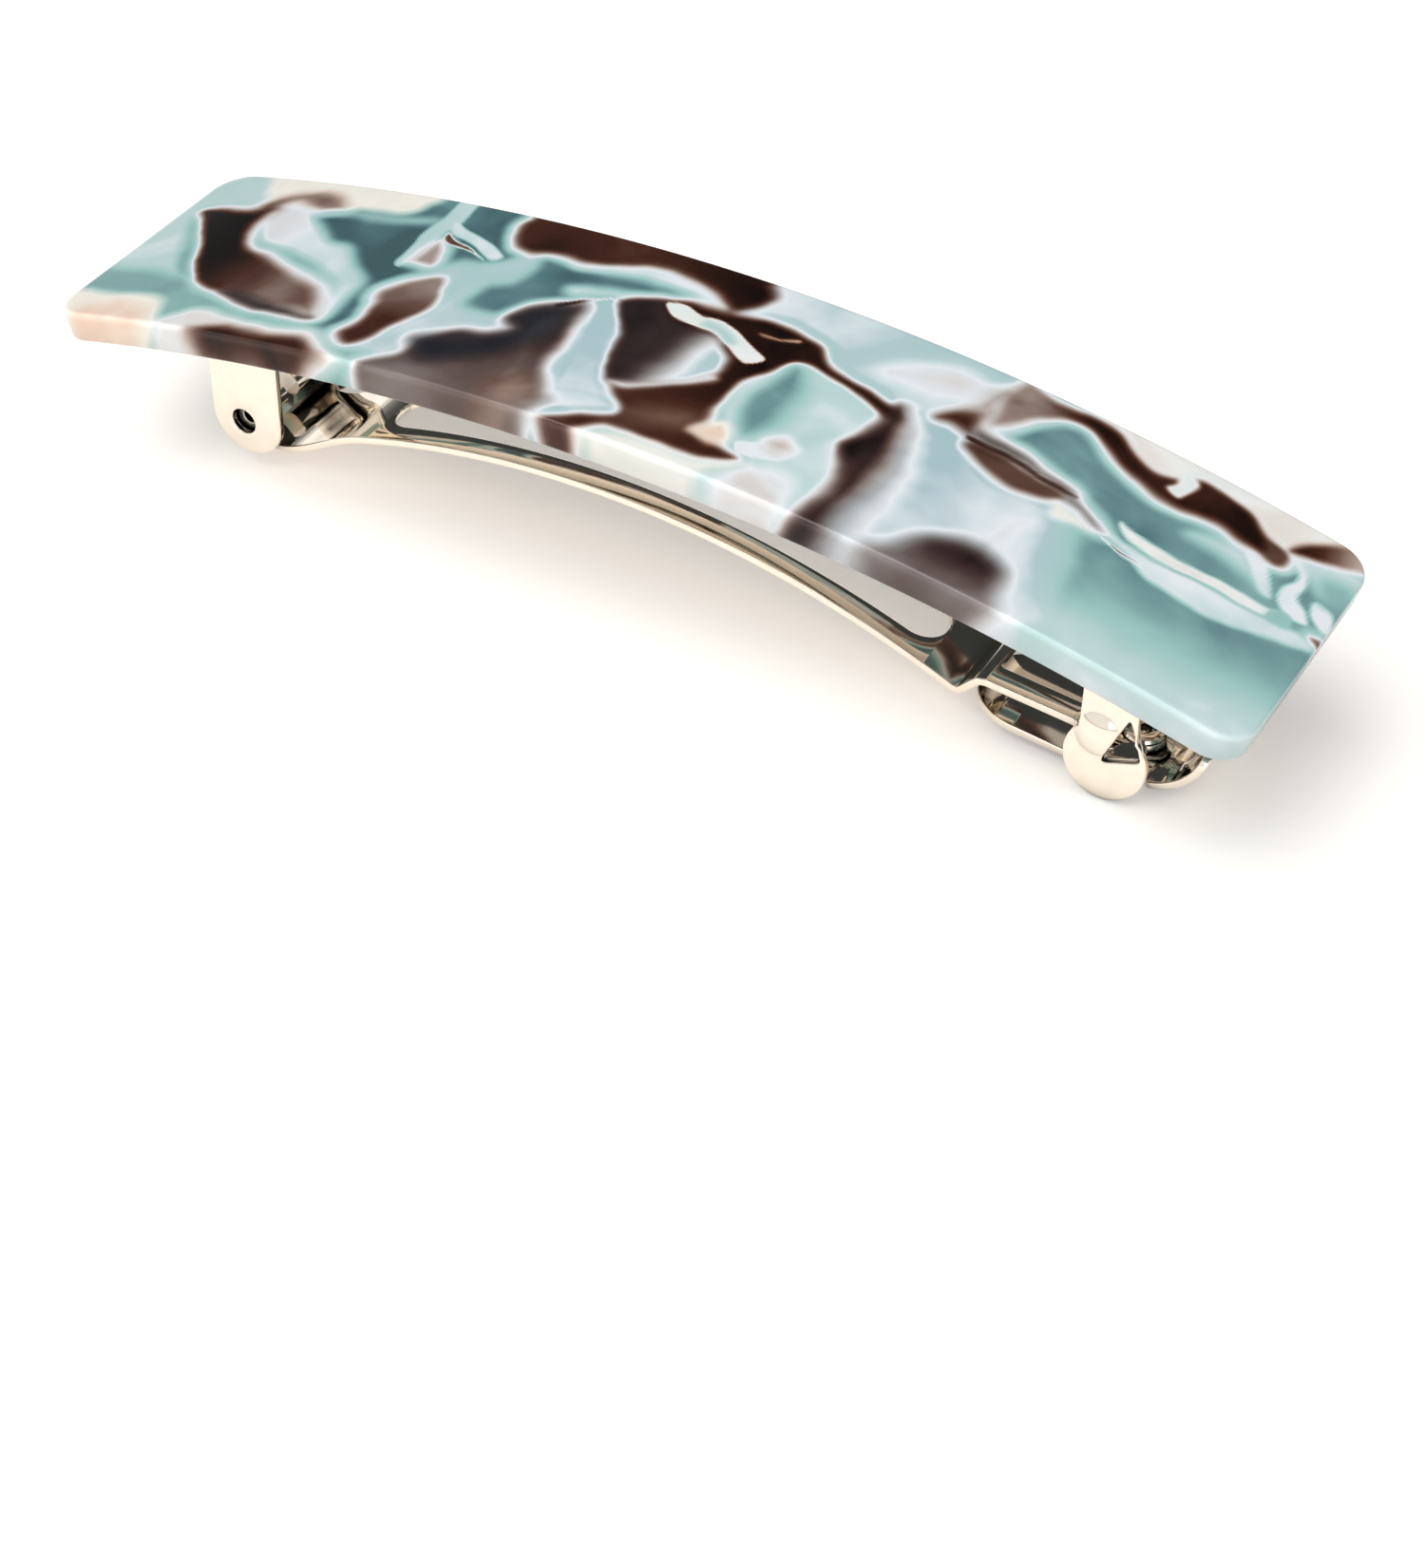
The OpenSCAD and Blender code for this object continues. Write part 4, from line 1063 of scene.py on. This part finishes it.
class BARRETTE_OT_studio(bpy.types.Operator):
    """Makes the acrylic sweep, the white surround, the soft boxes and the camera"""

    bl_idname = "barrette.studio"
    bl_label = "Studio"

    def execute(self, context):
        s = context.scene.barrette_studio
        scene = context.scene
        # A dish, in metres: flat in the middle, and rising with the square of the distance past that.
        side, flat, rise, count = 2.2, 0.7, 0.04, 61
        x, y = np.meshgrid(np.linspace(-side, side, count), np.linspace(-side, side, count))
        z = rise * np.maximum(np.hypot(x, y) - flat, 0) ** 2
        points = np.stack([x, y, z], axis=-1).reshape(-1, 3)
        mesh = bpy.data.meshes.new("acrylic_sweep")
        mesh.from_pydata(points.tolist(), [], grid_faces(count, count, False)[:, ::-1].tolist())
        mesh.shade_smooth()
        mesh.materials.append(acrylic(tuple(s.floor)))
        floor = bpy.data.objects.new("acrylic_sweep", mesh)
        scene.collection.objects.link(floor)

        world = bpy.data.worlds.new("white_surround")
        scene.world = world
        world.use_nodes = True
        tree = world.node_tree
        tree.nodes.clear()
        place = add(tree, "ShaderNodeTexCoord")
        # The surround is dark behind and above, as if a dark card hung there for the gloss to mirror.
        behind = add(tree, "ShaderNodeVectorMath", {1: (0, 0.72, 0.69)}, {0: place.outputs["Generated"]},
                     operation="DOT_PRODUCT")
        sky = add(tree, "ShaderNodeValToRGB", links={"Fac": behind.outputs["Value"]}, stops=[
            (0.0, (1, 1, 1)), (0.35, (0.9, 0.9, 0.9)), (0.62, (0.05, 0.055, 0.055)),
            (1.0, (0.04, 0.045, 0.045))])
        # The camera itself sees plain white in place of the card.
        seen = add(tree, "ShaderNodeLightPath")
        shown = add(tree, "ShaderNodeMix", {7: (1, 1, 1, 1)}, {0: seen.outputs["Is Camera Ray"],
                                                               6: sky.outputs["Color"]}, data_type="RGBA")
        light = add(tree, "ShaderNodeBackground", {"Strength": s.glow}, {"Color": shown.outputs[2]})
        add(tree, "ShaderNodeOutputWorld", links={"Surface": light.outputs["Background"]})

        for name, spot, size, power, colour in (
            ("soft_box_overhead", (-0.15, -0.22, 0.8), 0.7, s.key, (1, 0.99, 0.97)),
            ("soft_box_front", (0.45, -0.75, 0.35), 0.6, s.key * 0.2, (1, 0.985, 0.96)),
        ):
            lamp = bpy.data.lights.new(name, "AREA")
            lamp.size, lamp.energy, lamp.color = size, power, colour
            holder = bpy.data.objects.new(name, lamp)
            away = Matrix.Translation(spot)
            holder.matrix_world = away @ away.translation.to_track_quat("Z", "Y").to_matrix().to_4x4()
            scene.collection.objects.link(holder)

        # The camera's place in metres, the way that it looks, how steeply down, and its roll in degrees.
        place = (0.0968, -0.1642, 0.149)
        azimuth, elevation, roll = (math.radians(a) for a in (-29.83, 41.43, 0.89))
        ahead = np.array([math.sin(azimuth) * math.cos(elevation), math.cos(azimuth) * math.cos(elevation),
                          -math.sin(elevation)])
        level = np.array([math.cos(azimuth), -math.sin(azimuth), 0])
        above = np.cross(level, ahead)
        right = math.cos(roll) * level + math.sin(roll) * above
        above = -math.sin(roll) * level + math.cos(roll) * above
        lens = bpy.data.cameras.new("camera")
        lens.lens, lens.sensor_width = s.lens, 36
        lens.clip_start, lens.clip_end = 0.01, 20
        camera = bpy.data.objects.new("camera", lens)
        pose = np.eye(4)
        pose[:3, :] = np.column_stack([right, above, -ahead, place])
        camera.matrix_world = Matrix(pose.tolist())
        scene.collection.objects.link(camera)
        scene.camera = camera
        scene.view_settings.view_transform = "Standard"
        return {"FINISHED"}


class BARRETTE_PT_panel(bpy.types.Panel):
    """Lists the barrette's sizes, colours and pieces"""

    bl_idname = "BARRETTE_PT_panel"
    bl_label = "Marbled Barrette"
    bl_space_type = "VIEW_3D"
    bl_region_type = "UI"
    bl_category = "Barrette"

    def draw(self, context):
        scene = context.scene
        for group in (scene.barrette_plate, scene.barrette_clip, scene.barrette_studio):
            box = self.layout.box()
            for key in group.__annotations__:
                box.prop(group, key)
        for operator in OPERATORS:
            self.layout.operator(operator.bl_idname)


SETTINGS = (PlateSettings, ClipSettings, StudioSettings)
OPERATORS = (BARRETTE_OT_plate, BARRETTE_OT_base, BARRETTE_OT_bow, BARRETTE_OT_arm, BARRETTE_OT_buttons,
             BARRETTE_OT_studio)


def register():
    """Registers the classes and hangs the settings on the scene."""
    for item in (*SETTINGS, *OPERATORS, BARRETTE_PT_panel):
        bpy.utils.register_class(item)
    bpy.types.Scene.barrette_plate = PointerProperty(type=PlateSettings)
    bpy.types.Scene.barrette_clip = PointerProperty(type=ClipSettings)
    bpy.types.Scene.barrette_studio = PointerProperty(type=StudioSettings)


def unregister():
    """Takes the settings and the classes away again."""
    del bpy.types.Scene.barrette_studio
    del bpy.types.Scene.barrette_clip
    del bpy.types.Scene.barrette_plate
    for item in reversed((*SETTINGS, *OPERATORS, BARRETTE_PT_panel)):
        bpy.utils.unregister_class(item)


def main():
    """Registers the classes, then builds everything in order."""
    register()
    for step in ("plate", "base", "bow", "arm", "buttons", "studio"):
        getattr(bpy.ops.barrette, step)()


if __name__ == "__main__":
    main()
